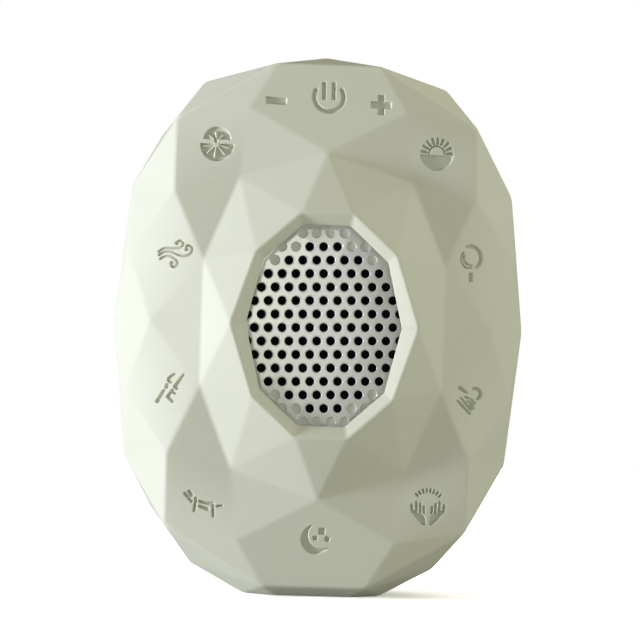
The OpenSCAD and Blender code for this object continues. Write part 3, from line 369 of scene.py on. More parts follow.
def lip_faces():
    """A narrow lip round the rim, within the plane of the joint."""
    rim = signed(FRONT, *RIM)
    centre = place(0, 0, SPLIT)
    inner = [p.lerp(centre, LIP * MM / (p - centre).length) for p in rim]
    n = len(rim)
    return [[rim[i], rim[(i + 1) % n], inner[(i + 1) % n], inner[i]] for i in range(n)]


slopes, walls = surround_faces()
skin_sheet = sheet_mesh(quarters(FRONT, FRONT_FACETS) + crossing_faces() + slopes,
                        quarters(FRONT, FRONT_PATCHES), lip_faces(), walls)
flip_outwards(skin_sheet, place(0, 0, SPLIT))
skin_sheet = rounded(skin_sheet, "skin_sheet")
skin_surface = BVHTree.FromBMesh(skin_sheet)

# %% [markdown]
# ## The keys
# Each key is a round of the same skin that moves on its own, so its surface is read off the
# skin's sheet with rays. The symbols are drawn as distances: a formula says how far a point is
# from a stroke, an arc or an outline, below zero inside it. Distances can be joined, cut and
# turned into a smooth groove wall, which a boolean can't give.

# %% Distances to simple shapes, for points in an array of rows
def taper(p, a, b, start_width, end_width):
    """A round-ended stroke whose width changes evenly from one end to the other."""
    a, b = np.array(a, float), np.array(b, float)
    t = np.clip((p - a) @ (b - a) / max((b - a) @ (b - a), 1e-9), 0, 1)
    width = start_width + (end_width - start_width) * t
    return np.linalg.norm(p - a - t[:, None] * (b - a), axis=1) - width / 2


def stroke(p, a, b, width):
    """A straight stroke with round ends."""
    return taper(p, a, b, width, width)


def path(p, points, width):
    """Straight strokes from point to point."""
    return np.min([stroke(p, a, b, width) for a, b in zip(points, points[1:])], axis=0)


def flow(p, points, width, steps=5):
    """A stroke along a smooth curve through points."""
    q = [np.array(point, float) for point in points]
    q = [2 * q[0] - q[1]] + q + [2 * q[-1] - q[-2]]
    curve = []
    for a, b, c, d in zip(q, q[1:], q[2:], q[3:]):
        for t in np.arange(steps) / steps:
            curve.append(0.5 * (2 * b + (c - a) * t + (2 * a - 5 * b + 4 * c - d) * t * t
                                + (3 * b - a - 3 * c + d) * t ** 3))
    return path(p, curve + [q[-2]], width)


def disc(p, centre, radius):
    return np.linalg.norm(p - np.array(centre, float), axis=1) - radius


def arc(p, centre, radius, width, start, end):
    """A stroke along a circle, from one angle to another in degrees, with round ends."""
    q = p - np.array(centre, float)
    middle, half = math.radians((start + end) / 2), math.radians((end - start) / 2)
    angle = np.arctan2(q[:, 1], q[:, 0]) - middle
    angle = np.clip((angle + math.pi) % (2 * math.pi) - math.pi, -half, half) + middle
    near = radius * np.stack([np.cos(angle), np.sin(angle)], 1)
    return np.linalg.norm(q - near, axis=1) - width / 2


def outline(p, corners):
    """A closed outline of straight sides."""
    corners = np.array(corners, float)
    best, inside = np.full(len(p), 1e9), np.zeros(len(p), bool)
    for a, b in zip(corners, np.roll(corners, -1, axis=0)):
        e, w = b - a, p - a
        t = np.clip(w @ e / (e @ e), 0, 1)
        best = np.minimum(best, np.linalg.norm(w - t[:, None] * e, axis=1))
        crosses = (a[1] > p[:, 1]) != (b[1] > p[:, 1])
        rise = np.where(abs(e[1]) < 1e-9, 1e-9, e[1])
        inside ^= crosses & (p[:, 0] < e[0] * (p[:, 1] - a[1]) / rise + a[0])
    return np.where(inside, -best, best)


def box(p, centre, width, height):
    (x, z), w, h = centre, width / 2, height / 2
    return outline(p, [(x - w, z - h), (x + w, z - h), (x + w, z + h), (x - w, z + h)])


def rays(p, inner, outer, width, start, end, count):
    """Short strokes that fan out round the middle."""
    turns = [math.radians(start + (end - start) * i / (count - 1)) for i in range(count)]
    return joined(*[stroke(p, (inner * math.cos(t), inner * math.sin(t)),
                           (outer * math.cos(t), outer * math.sin(t)), width) for t in turns])


def joined(*shapes):
    return np.min(shapes, axis=0)


def common(*shapes):
    return np.max(shapes, axis=0)


def without(shape, *holes):
    return np.max([shape] + [-h for h in holes], axis=0)


# %% [markdown]
# ### The symbols
# They are plain picture signs of the kind that such keys carry: a power ring, a rising sun, a
# moon, gusts of wind and so on. Each is a few strokes about the key's middle.

# %% Power, volume and the upper keys
def symbol_power(p):
    return joined(arc(p, (0, 0), 3.4, 0.85, 153, 389), box(p, (-1.15, 1.4), 0.78, 4),
                  box(p, (1.1, 1.4), 0.78, 4))


def symbol_minus(p):
    return outline(p, [(-2.3, -0.8), (2.4, -0.9), (2.4, 0.6), (-2.3, 0.8)])


def symbol_plus(p):
    return joined(box(p, (0, 0), 4.7, 1.45), box(p, (0, 0), 1.45, 4.6))


def symbol_sunrise(p):
    sea = common(disc(p, (0, 0), 3.85), p[:, 1] + 0.35)
    return joined(sea, arc(p, (0, 0), 1.85, 0.25, 2, 178), rays(p, 2.45, 3.6, 0.5, 3, 172, 9))


def symbol_gong(p):
    rim = joined(arc(p, (0, 1.45), 2.65, 0.7, -52, 96), taper(p, (-0.3, 4.08), (-1.1, 3.95), 0.55, 0.3))
    return joined(rim, arc(p, (0.1, 1.4), 1.65, 0.3, 160, 265), arc(p, (0, 1.15), 2.25, 0.25, 140, 255),
                  box(p, (0, -0.55), 0.8, 0.85), box(p, (0.25, -3.1), 0.75, 2))


# %% Heart, hands, moon and figures
def symbol_heart(p):
    hatch = [taper(p, a, b, 0.3, 0.4) for a, b in (((-1, 0.9), (0.8, 0.1)), ((-0.4, -0.1), (0.9, -0.9)),
                                                   ((0.3, -1.05), (1.05, -1.7)))]
    return joined(arc(p, (1.5, 1.65), 1.25, 0.6, -65, 112), taper(p, (-2.45, 3), (-0.7, 1.9), 0.65, 0.45),
                  taper(p, (-2.9, 0), (0.2, -2.9), 0.3, 0.45), taper(p, (-2.1, 0.7), (0.4, -2), 0.25, 0.35),
                  disc(p, (1.35, -0.4), 0.28), *hatch)


def symbol_hands(p):
    hands = []
    for side in (-1, 1):
        palm = [(0.5, -4.3), (1.1, -4.3), (2.3, -3.2), (3.4, -1.9), (3.75, -1.1), (3.3, -0.9),
                (2.5, -1.6), (1.5, -1.8), (0.85, -2.3), (0.6, -2.9)]
        hands.append(outline(p, [(side * x, z) for x, z in palm]))
        for x, foot, tip in ((3.85, -1.3, 0.3), (2.75, -1.4, 0.95), (1.85, -1.9, 0.55), (1, -1.5, -0.15)):
            hands.append(stroke(p, (side * (x - 0.12), foot), (side * x, tip), 0.42))
    return joined(rays(p, 3.35, 4.05, 0.35, 43, 135, 8), *hands)


def symbol_moon(p):
    turns = [math.radians(25 + 90 * k) for k in range(4)]
    star = [(2.7 + 0.72 * math.cos(t), 0.15 + 0.72 * math.sin(t)) for t in turns]
    return joined(without(disc(p, (0.1, 0), 3.45), disc(p, (1.58, 1.12), 3.38)),
                  box(p, (1.4, 1.95), 1.3, 1.35), box(p, (-0.1, 0.3), 0.87, 0.87), outline(p, star))


def symbol_walker(p):
    return joined(stroke(p, (-4.3, 2.3), (-2.65, 0.45), 0.5), stroke(p, (-3.3, 2.7), (-2.8, 1.95), 0.75),
                  taper(p, (-1.7, 1.15), (-2, -1.7), 0.6, 0.45), stroke(p, (2.25, 0.2), (2.4, -2.7), 0.5),
                  flow(p, [(-0.9, 0.6), (0.2, 0.3), (1.3, 0.15), (2.2, 0.3)], 0.5),
                  taper(p, (-0.75, -0.6), (1.1, -1.15), 0.5, 0.65),
                  taper(p, (3.25, -0.5), (4.4, -0.3), 0.4, 0.3))


def symbol_sleeper(p):
    return joined(taper(p, (-2.9, -3.15), (-1.5, -0.6), 0.65, 0.45),
                  stroke(p, (-0.8, 0.7), (-0.95, 0.2), 0.6),
                  flow(p, [(0.8, 3.2), (-0.1, 2.6), (-0.5, 2), (-0.3, 1.55), (0.15, 1.35)], 0.45),
                  taper(p, (2.9, 3.25), (1.05, 0.4), 0.3, 0.65),
                  taper(p, (1.05, 0.4), (1.45, -0.15), 0.6, 0.4),
                  path(p, [(0.5, -0.45), (-0.6, -2), (0.5, -3.05)], 0.45),
                  stroke(p, (0.3, -0.7), (1.1, -1.2), 0.35))


# %% Wind and citrus
def gust(p, points):
    """A breath of wind: a smooth line with a round drop at its end."""
    return joined(flow(p, points, 0.34), disc(p, points[-1], 0.33))


def symbol_wind(p):
    return joined(
        gust(p, [(-3.7, 0.35), (-3, 0.95), (-2, 1.25), (-0.5, 1.25), (0.9, 1.3), (1.6, 1.7), (1.75, 2.4),
                 (1.3, 2.95), (0.7, 2.95), (0.35, 2.4)]),
        gust(p, [(-3.6, -0.4), (-2.8, 0.15), (-1.5, 0.45), (-0.5, 0.3), (0.8, -0.3), (2.3, -0.5),
                 (3.2, -0.2), (3.75, 0.6), (3.7, 1.5), (3, 2), (2.55, 1.6), (2.6, 1)]),
        gust(p, [(-3.3, -1.3), (-2.4, -0.75), (-1.1, -0.6), (-0.1, -1.1), (0.5, -1.9), (0.5, -2.6),
                 (0, -3.1), (-0.7, -2.9), (-0.7, -2.2)]))


def spokes(p, hub, reach, width, angles):
    """Raised spokes that run out from a hub."""
    return [taper(p, hub, (hub[0] + reach * math.cos(math.radians(a)),
                           hub[1] + reach * math.sin(math.radians(a))), width * 0.7, width) for a in angles]


def symbol_citrus(p):
    lower = without(common(disc(p, (0, -0.05), 3.85), p[:, 1] - 0.05), disc(p, (-0.2, -0.1), 0.75),
                    *spokes(p, (-0.2, -0.1), 2.9, 0.5, (191, 225, 264, 312, 346)))
    upper = without(common(disc(p, (0, 0.85), 3.1), 1.15 - p[:, 1]),
                    *spokes(p, (-0.2, 0.6), 2, 0.5, (45, 93, 140)))
    return joined(lower, upper, common(stroke(p, (-0.5, 1.3), (-0.3, 0.5), 0.4), 0.3 - p[:, 1]))


# %% Where the keys are and what they show
KEYS = {  # share of the half width, of the half height, radius, shift of the post, symbol
    "power": (0, 0.843, 5.1, 2, symbol_power), "minus": (-0.255, 0.824, 3.8, 2, symbol_minus),
    "plus": (0.254, 0.82, 3.8, 2, symbol_plus), "sunrise": (0.533, 0.647, 5.5, 0, symbol_sunrise),
    "gong": (0.711, 0.245, 4.9, 1.2, symbol_gong), "heart": (0.728, -0.26, 4.9, 1.2, symbol_heart),
    "hands": (0.542, -0.653, 5.5, 0, symbol_hands), "moon": (0, -0.785, 5.5, 0, symbol_moon),
    "walker": (-0.546, -0.666, 5.5, 0, symbol_walker),
    "sleeper": (-0.721, -0.245, 4.9, 1.2, symbol_sleeper),
    "wind": (-0.719, 0.249, 4.9, 1.2, symbol_wind), "citrus": (-0.532, 0.656, 5.5, 0, symbol_citrus),
}
KEY_CELLS = 96  # squares along each side of a pad's grid, a quarter of its border
print("keys:", len(KEYS))

# %% [markdown]
# ## Finishes
# Silicone is matt with a very fine grain, and moulded plastic has a coarser one. Metal is drawn
# out along one direction, and cloth is woven. Painted pictures would need unwrapped faces and
# blur close up, so each of these effects is computed, in a node group with named inputs: one
# recipe serves many materials, each with its own numbers.

# %% Helpers for shader nodes
COLOUR, NUMBER = "NodeSocketColor", "NodeSocketFloat"


def feed(tree, made, feeds):
    """Gives inputs of a node their values, or links them to sockets."""
    for label, value in feeds.items():
        if isinstance(value, bpy.types.NodeSocket):
            tree.links.new(value, made.inputs[label])
        else:
            made.inputs[label].default_value = value


def node(tree, kind, feeds=None, **settings):
    """A new node with its settings, and what its inputs are fed with."""
    made = tree.nodes.new(kind)
    for key, value in settings.items():
        setattr(made, key, value)
    feed(tree, made, feeds or {})
    return made


def maths(tree, operation, *inputs):
    """A Math node with sockets or numbers for its inputs."""
    return node(tree, "ShaderNodeMath", dict(enumerate(inputs)), operation=operation).outputs[0]


def object_spot(tree):
    """The object's own coordinates, in metres."""
    return node(tree, "ShaderNodeTexCoord").outputs["Object"]


def noise(tree, spot, scale, detail):
    """A noise texture, as a number round a half."""
    return node(tree, "ShaderNodeTexNoise",
                {"Vector": spot, "Scale": scale, "Detail": detail}).outputs["Fac"]


def tinted(tree, colour, amount):
    """Lightens or darkens a colour by a signed share."""
    share = maths(tree, "ADD", amount, 1.0)
    grey = node(tree, "ShaderNodeCombineColor", {"Red": share, "Green": share, "Blue": share})
    mix = node(tree, "ShaderNodeMix", data_type="RGBA", blend_type="MULTIPLY")
    feed(tree, mix, {"Factor": 1, "A": colour, "B": grey.outputs["Color"]})
    return mix.outputs["Result"]


# %% Node groups for grain, drawn metal and cloth
def start_group(name, colour, drift, grain, roughness, spread):
    """A node group with the sockets that all finishes share, and its object coordinates."""
    tree = bpy.data.node_groups.new(name, "ShaderNodeTree")
    for label, kind, value in (("Colour", COLOUR, (*colour, 1)), ("Drift", NUMBER, drift),
                               ("Grain", NUMBER, grain), ("Roughness", NUMBER, roughness),
                               ("Roughness Spread", NUMBER, spread)):
        socket = tree.interface.new_socket(label, in_out="INPUT", socket_type=kind)
        socket.default_value = value
    for label, kind in (("Colour", COLOUR), ("Roughness", NUMBER), ("Height", NUMBER)):
        tree.interface.new_socket(label, in_out="OUTPUT", socket_type=kind)
    return tree, node(tree, "NodeGroupInput").outputs, node(tree, "NodeGroupOutput"), object_spot(tree)


def end_group(tree, given, out, shade, change, height):
    """Feeds the outputs from a shade, a change of the roughness and a height."""
    drift = maths(tree, "MULTIPLY", shade, given["Drift"])
    spread = maths(tree, "MULTIPLY", change, given["Roughness Spread"])
    feed(tree, out, {"Colour": tinted(tree, given["Colour"], drift), "Height": height,
                     "Roughness": maths(tree, "ADD", given["Roughness"], spread)})
    return tree


def make_grain():
    """Fine bumps and slow colour drift, for silicone, plastic, rubber, paint and foam."""
    tree, given, out, spot = start_group("moulded_grain", (0.5, 0.5, 0.5), 0.03, 3000.0, 0.6, 0.1)
    slow = noise(tree, spot, 45.0, 2.0)
    fine = noise(tree, spot, given["Grain"], 4.0)
    shade = maths(tree, "SUBTRACT", slow, 0.5)
    return end_group(tree, given, out, shade, maths(tree, "SUBTRACT", fine, 0.5), fine)


def make_brushed():
    """Fine lines along X, for plated and rolled metal."""
    tree, given, out, spot = start_group("drawn_metal", (0.6, 0.6, 0.6), 0.1, 900.0, 0.35, 0.2)
    stretch = node(tree, "ShaderNodeMapping", {"Vector": spot, "Scale": (0.08, 1, 1)})
    lines = noise(tree, stretch.outputs["Vector"], given["Grain"], 5.0)
    shade = maths(tree, "SUBTRACT", lines, 0.5)
    return end_group(tree, given, out, shade, shade, lines)


def make_weave():
    """Crossing threads, for dust cloth, cone paper and circuit laminate."""
    tree, given, out, spot = start_group("woven", (0.05, 0.05, 0.05), 0.4, 2500.0, 0.85, 0.1)
    axes = node(tree, "ShaderNodeSeparateXYZ", {0: spot})
    threads = []
    for axis in ("X", "Z"):
        turn = maths(tree, "MULTIPLY", axes.outputs[axis], given["Grain"])
        threads.append(maths(tree, "ABSOLUTE", maths(tree, "SINE", turn)))
    height = maths(tree, "MAXIMUM", threads[0], threads[1])
    shade = maths(tree, "SUBTRACT", height, 0.7)
    return end_group(tree, given, out, shade, maths(tree, "MULTIPLY", height, -1.0), height)


GRAIN, BRUSHED, WOVEN = make_grain(), make_brushed(), make_weave()
print("finish groups:", [g.name for g in (GRAIN, BRUSHED, WOVEN)])


# %% Materials
FINISHES = {}


def finish(name, group, colour, drift, grain, roughness, spread, bump, depth=0.02, metallic=0.0,
           specular=0.5):
    """A Principled material fed by one finish group."""
    material = bpy.data.materials.new(name)
    material.use_nodes = True
    tree = material.node_tree
    effect = node(tree, "ShaderNodeGroup", node_tree=group)
    feed(tree, effect, {"Colour": (*colour, 1), "Drift": drift, "Grain": grain,
                        "Roughness": roughness, "Roughness Spread": spread})
    height = node(tree, "ShaderNodeBump", {"Strength": bump, "Distance": depth * MM,
                                           "Height": effect.outputs["Height"]})
    feed(tree, tree.nodes["Principled BSDF"], {
        "Base Color": effect.outputs["Colour"], "Roughness": effect.outputs["Roughness"],
        "Normal": height.outputs["Normal"], "Metallic": metallic, "Specular IOR Level": specular})
    FINISHES[name] = material


SAGE = (0.60, 0.63, 0.465)
for row in [  # in the order of the function's arguments
    ("sage_silicone", GRAIN, SAGE, 0.05, 4200.0, 0.62, 0.1, 0.35, 0.012, 0, 0.3),
    # Floors of the sunk symbols: a rougher finish whose darker colour is painted shade for the grooves.
    ("shaded_symbol_floor", GRAIN, (0.54, 0.565, 0.43), 0.05, 4200.0, 0.8, 0.1, 0.35, 0.012, 0, 0.2),
    ("sage_plastic", GRAIN, SAGE, 0.05, 3000.0, 0.55, 0.1, 0.35, 0.015),
    ("grille_enamel", GRAIN, (0.565, 0.595, 0.505), 0.04, 2600.0, 0.25, 0.08, 0.3, 0.01, 0.18),
    # Floors of the blind dimples: a duller finish whose darker colour is painted shade for the hollows.
    ("shaded_dimple_floor", GRAIN, (0.53, 0.55, 0.45), 0.04, 2600.0, 0.5, 0.08, 0.3, 0.01),
    ("dust_cloth", WOVEN, (0.002, 0.002, 0.002), 0.5, 2500.0, 0.9, 0.1, 0.6, 0.1, 0, 0.05),
    ("foot_rubber", GRAIN, (0.27, 0.28, 0.22), 0.08, 1800.0, 0.8, 0.1, 0.5, 0.04),
    ("zinc_steel", BRUSHED, (0.62, 0.63, 0.65), 0.15, 900.0, 0.32, 0.25, 0.2, 0.01, 1),
    ("frame_plastic", GRAIN, (0.75, 0.75, 0.73), 0.04, 2500.0, 0.5, 0.1, 0.3),
    ("foam", GRAIN, (0.03, 0.03, 0.032), 0.6, 1500.0, 0.95, 0.1, 0.8, 0.15),
    ("cone_paper", WOVEN, (0.03, 0.03, 0.033), 0.3, 1200.0, 0.85, 0.1, 0.4, 0.05),
    ("surround_rubber", GRAIN, (0.02, 0.02, 0.02), 0.1, 2000.0, 0.6, 0.1, 0.3),
    ("spider_cloth", WOVEN, (0.5, 0.33, 0.1), 0.3, 1500.0, 0.8, 0.1, 0.5, 0.08),
    ("copper_coil", BRUSHED, (0.7, 0.32, 0.14), 0.3, 3000.0, 0.3, 0.2, 0.5, 0.02, 1),
    ("ferrite", GRAIN, (0.035, 0.035, 0.04), 0.2, 1800.0, 0.6, 0.2, 0.5, 0.03),
    ("board_laminate", WOVEN, (0.01, 0.10, 0.045), 0.2, 900.0, 0.35, 0.1, 0.2),
    ("black_plastic", GRAIN, (0.02, 0.02, 0.022), 0.1, 2200.0, 0.45, 0.1, 0.3),
    ("plunger_brass", GRAIN, (0.6, 0.42, 0.08), 0.1, 2500.0, 0.4, 0.1, 0.3),
    ("ceramic_parts", GRAIN, (0.4, 0.28, 0.14), 0.3, 1500.0, 0.5, 0.1, 0.2),
    ("battery_foil", BRUSHED, (0.5, 0.54, 0.6), 0.1, 700.0, 0.3, 0.2, 0.3, 0.02, 1),
    ("lead_wire", GRAIN, (0.45, 0.02, 0.015), 0.1, 2000.0, 0.45, 0.1, 0.2),
]:
    finish(*row)
print("finishes:", len(FINISHES))


def dress_nodes():
    """Gives each carried-over solid the finish of its slot."""
    for entry in frame["record"]["subparts"]:
        obj = frame["nodes"][entry["node"]]
        obj.data.materials.clear()
        obj.data.materials.append(FINISHES[entry["material_slot"]])
    return len(frame["record"]["subparts"])


print("solids dressed:", dress_nodes())

# %% Cut the key holes in the skin
def dress(obj, *names):
    """Replaces the finishes, a further one for faces that were given a number above 0."""
    numbers = [polygon.material_index for polygon in obj.data.polygons]
    obj.data.materials.clear()
    for name in names:
        obj.data.materials.append(FINISHES[name])
    for polygon, number in zip(obj.data.polygons, numbers):
        polygon.material_index = min(number, len(names) - 1)


def make_skin():
    """The shell of the front, with a hole for each key."""
    thicken(skin_sheet, SKIN_T * MM, place(0, 0, SPLIT).y)
    skin = object_from(skin_sheet, "skin")
    holes = bmesh.new()
    for share_x, share_z, radius, _, _ in KEYS.values():
        turned(holes, share_x * HALF_W, share_z * HALF_H, [(radius, -1), (radius, SPLIT - 2)],
               sides=4 * KEY_CELLS)
    cut(skin, closed_object(holes, "key_holes"))
    dress(smooth(skin), "sage_silicone")
    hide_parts("front_skin")
    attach(skin, "root")
    return skin


skin = make_skin()
print("skin faces:", len(skin.data.polygons))

# %% [markdown]
# ### A key from the skin's surface
# A key is a pad of the skin, so its face has to follow the facets below the seam. A disc cut
# out of the sheet would have long thin faces that no symbol fits into. Instead a square grid is
# bent into a disc, so that its cells stay even and its border is a true circle. Each point is
# dropped onto the skin and then sunk where a symbol is. A post behind the pad reaches the
# switch.

# %% A grid over a disc
def disc_grid(cells):
    """Points of a grid over the unit disc, its cells as vertex numbers, and its border in order."""
    line = np.linspace(-1, 1, cells + 1)
    a, b = np.meshgrid(line, line)
    with np.errstate(divide="ignore", invalid="ignore"):
        wide = np.abs(a) > np.abs(b)
        r = np.where(wide, a, b)
        turn = np.where(wide, np.pi / 4 * b / a, np.pi / 2 - np.pi / 4 * a / b)
        turn = np.where(r == 0, 0, turn)
    points = np.stack([r * np.cos(turn), r * np.sin(turn)], -1).reshape(-1, 2)
    numbers = np.arange(len(points)).reshape(cells + 1, cells + 1)
    squares = np.stack([numbers[:-1, :-1], numbers[:-1, 1:], numbers[1:, 1:], numbers[1:, :-1]], -1)
    squares = squares.reshape(-1, 4)
    border = [*numbers[0, :-1], *numbers[:-1, -1], *numbers[-1, :0:-1], *numbers[:0:-1, 0]]
    return points, squares, border


GRID, SQUARES, BORDER = disc_grid(KEY_CELLS)
print("grid of a key:", len(GRID), "points,", len(BORDER), "on its border")

# %% Make the keys
SEAM, KEY_T = 0.004, 1.4
SYMBOL_DEPTH, WALL_WIDTH = 0.8, 0.34
POST_R, POST_SIDES, POST_SUNK = 1.6, 32, 0.3


def drop_on_skin(across, up):
    """The skin's surface at a place of the drawing, and the facet's direction there."""
    spot, normal, _, _ = skin_surface.ray_cast(place(across, up, -DEPTH), Vector((0, 1, 0)))
    return spot, normal


def add_post(bm, cx, cz, shift, name):
    """A post from the pad to the solid key's end, shifted towards the body's middle."""
    share = 1 - shift / math.hypot(cx, cz)
    x, z = cx * share, cz * share
    start = drop_on_skin(x, z)[0].y / MM + DEPTH / 2 + KEY_T - POST_SUNK
    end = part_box("key_" + name)[1].y / MM + DEPTH / 2
    turned(bm, x, z, [(POST_R, start), (POST_R, end)], POST_SIDES)


def make_key(name):
    """A round pad of the skin with its symbol sunk in, and its post behind it."""
    share_x, share_z, radius, shift, symbol = KEYS[name]
    cx, cz = share_x * HALF_W, share_z * HALF_H
    flat = GRID * (radius - SEAM)
    sunk = np.clip(0.5 - symbol(flat) / WALL_WIDTH, 0, 1)
    sunk = sunk * sunk * (3 - 2 * sunk)
    middle = drop_on_skin(cx, cz)[1]
    bm = bmesh.new()
    verts = []
    for (x, z), share in zip(flat, sunk):
        spot, _ = drop_on_skin(cx + x, cz + z)
        verts.append(bm.verts.new(spot - middle * SYMBOL_DEPTH * MM * share))
    for square in SQUARES:
        face = bm.faces.new([verts[i] for i in square])
        # Faces sunk into a symbol get the second finish, whose darker colour is painted shade for the
        # groove.
        face.material_index = int(sunk[square].mean() > 0.5)
    back = [bm.verts.new(verts[i].co + Vector((0, KEY_T * MM, 0))) for i in BORDER]
    for k, i in enumerate(BORDER):
        j = (k + 1) % len(BORDER)
        bm.faces.new((verts[i], back[k], back[j], verts[BORDER[j]]))
    bm.faces.new(back)
    add_post(bm, cx, cz, shift, name)
    pad = closed_object(bm, "pad_" + name)
    dress(smooth(pad, sharp=math.radians(50)), "sage_silicone", "shaded_symbol_floor")
    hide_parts("key_" + name)
    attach(pad, name + "_key")
    return pad


pads = [make_key(name) for name in KEYS]
print("keys:", len(pads), "faces each:", len(pads[0].data.polygons))

# %% [markdown]
# ## The rear shell
# The back is a hard shell with screw wells, a port and bosses inside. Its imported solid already
# has all of these, so only its outer folds need rounding. A solid with rounded folds is made
# from the rear's corners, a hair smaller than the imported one, and the two are intersected:
# the outside comes from one and everything else from the other.

# %% The rear's facets
REAR_FACETS = [
    ("rim_upper", "rim_lower", "middle_diagonal"), ("rim_upper", "middle_diagonal", "middle_end"),
    ("rim_lower", "rim_side", "middle_side"), ("rim_lower", "middle_side", "middle_diagonal"),
    ("middle_end", "middle_diagonal", "back_diagonal"), ("middle_end", "back_diagonal", "back_end"),
    ("middle_diagonal", "middle_side", "back_side"), ("middle_diagonal", "back_side", "back_diagonal"),
]
BACK_RING = [("back_end", 1, 1), ("back_diagonal", 1, 1), ("back_side", 1, 1), ("back_side", 1, -1),
             ("back_diagonal", 1, -1), ("back_end", 1, -1), ("back_diagonal", -1, -1),
             ("back_side", -1, -1), ("back_side", -1, 1), ("back_diagonal", -1, 1)]


def rear_crossing():
    """Rear facets that cross from one quarter to the next, the foot and the flat back."""
    faces = []
    for sx in (1, -1):
        top, low = (sx, 1), (sx, -1)
        faces += [[("rim_side", *top), ("middle_side", *top), ("middle_side", *low)],
                  [("middle_side", *top), ("back_side", *top), ("back_side", *low)],
                  [("middle_side", *top), ("back_side", *low), ("middle_side", *low)],
                  [("rim_end", 1, 1), ("rim_upper", *top), ("middle_end", *top)],
                  [("rim_upper", *low), ("foot_side", *low), ("middle_end", *low)],
                  [("foot_side", *low), ("foot_back", *low), ("middle_end", *low)]]
    faces += [[("middle_end", 1, sz), ("back_end", 1, sz), ("middle_end", -1, sz)] for sz in (1, -1)]
    faces += [[("rim_end", 1, 1), ("middle_end", 1, 1), ("middle_end", -1, 1)],
              [("foot_back", 1, -1), ("foot_back", -1, -1), ("middle_end", 1, -1)],
              [("foot_back", -1, -1), ("middle_end", -1, -1), ("middle_end", 1, -1)],
              [("foot_side", 1, -1), ("foot_side", -1, -1), ("foot_back", -1, -1), ("foot_back", 1, -1)],
              BACK_RING]
    return [signed(BACK, *face) for face in faces]


def packed_copy(name):
    """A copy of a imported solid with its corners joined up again."""
    source = frame["nodes"][name]
    bm = bmesh.new()
    bm.from_mesh(source.data)
    bm.transform(source.matrix_world)
    bmesh.ops.remove_doubles(bm, verts=bm.verts, dist=1e-6)
    return object_from(bm, name + "_dressed")


def inset(bm, gap):
    """Moves every vertex inwards by a small gap in metres."""
    bm.normal_update()
    for v, step in [(v, v.normal * gap) for v in bm.verts]:
        v.co -= step


# %% Make the rear shell
HAIR = 0.01


def make_rear():
    """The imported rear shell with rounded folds."""
    sheet = sheet_mesh(quarters(BACK, REAR_FACETS) + rear_crossing(), [], [signed(BACK, *RIM)])
    sheet = rounded(sheet, "rear_sheet")
    inset(sheet, HAIR * MM)
    rear = cut(packed_copy("rear_shell"), object_from(sheet, "rear_solid"), operation="INTERSECT")
    dress(smooth(rear), "sage_plastic")
    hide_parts("rear_shell")
    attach(rear, "root")
    return rear


rear = make_rear()
print("rear faces:", len(rear.data.polygons))

# %% [markdown]
# ## The grille
# A punched and painted plate has soft rims, because the paint runs round the edge of every
# hole, and a plate of this kind is slightly domed. The dome is a stack of rings that follow the
# ten-sided outline. A bevel on the rims of a hundred holes would tangle with the rings, so each
# hole is cut with a trumpet instead: a turned tool that flares towards the face of the plate.
# The blind dimples beyond the sound duct are pressed in with a flatter tool. Their floors
# have a duller finish whose darker colour is painted shade for the hollows.

# %% Where the holes are
HOLE_R, HOLE_PITCH, ROW_PITCH, ROWS = 1.0, 3.2, 3.1, 7
DIMPLE_R, DIMPLE_DEPTH, DUCT_R, PIERCED_INSET = 1.2, 0.25, 19.6, 0.6
FIELD_TURN, FIELD_DROP, FIELD_WIDER, FIELD_HIGHER = math.radians(1.75), 0.4, 0.3, 2.2


def field_reach(up):
    """Half the width of the dotted field at a height."""
    return (OPENING_W + FIELD_WIDER) * (1 - (abs(up) / (OPENING_H + FIELD_HIGHER)) ** 3)


def hole_places(pierced):
    """The middles of the holes, or of the blind dimples, row by row."""
    out = []
    for row in range(-ROWS, ROWS + 1):
        for i in range(-ROWS, ROWS + 1):
            x, z = (i + abs(row) % 2 / 2) * HOLE_PITCH, row * ROW_PITCH
            if (math.hypot(x, z) < DUCT_R - PIERCED_INSET) == pierced and abs(x) < field_reach(z):
                out.append((x * math.cos(FIELD_TURN) - z * math.sin(FIELD_TURN),
                            x * math.sin(FIELD_TURN) + z * math.cos(FIELD_TURN) - FIELD_DROP))
    return out


HOLES, DIMPLES = hole_places(True), hole_places(False)
print("grille holes:", len(HOLES), "dimples:", len(DIMPLES))


# %% Tools for the plate
def rolled_rim(radius, roll, face, steps=5):
    """A quarter round that leaves the plate's face and ends in the hole's wall."""
    turns = [math.pi / 2 * i / steps for i in range(steps + 1)]
    return [(radius + roll * (1 - math.sin(t)), face + roll * (1 - math.cos(t))) for t in turns]


GRILLE_LAP, DOME, DROP = 1.2, 0.5, 0.64
# How far each ring of the plate lies outside the opening, and how far below its middle.
PLATE_RINGS = [(grow, DOME * (1 + grow / OPENING_W) ** 4) for grow in (-14, -11, -8, -6, -4, -2.4, -1)]
PLATE_RINGS += [(-0.5, DOME), (-0.1, DROP), (GRILLE_LAP, DROP)]


def inside_outline(x, z, grow):
    """Whether a point lies inside the opening's outline after the outline has grown."""
    corners = [(u * (OPENING_W + grow), v * (OPENING_H + grow)) for u, v in OPENING]
    beyond = [(b[0] - a[0]) * (abs(z) - a[1]) - (b[1] - a[1]) * (abs(x) - a[0])
              for a, b in zip(corners, corners[1:])]
    return abs(z) <= corners[0][1] and max(beyond) <= 0


def sag(x, z):
    """How far the domed plate lies below its middle at a point."""
    low, high = -OPENING_W, GRILLE_LAP
    for _ in range(24):
        middle = (low + high) / 2
        low, high = (low, middle) if inside_outline(x, z, middle) else (middle, high)
    return float(np.interp(high, *zip(*PLATE_RINGS)))


# %% Make the grille
RIM_ROLL, DIMPLE_ROUND = 0.28, ((0, 0.12), (0.1, 0.03), (0.3, 0))


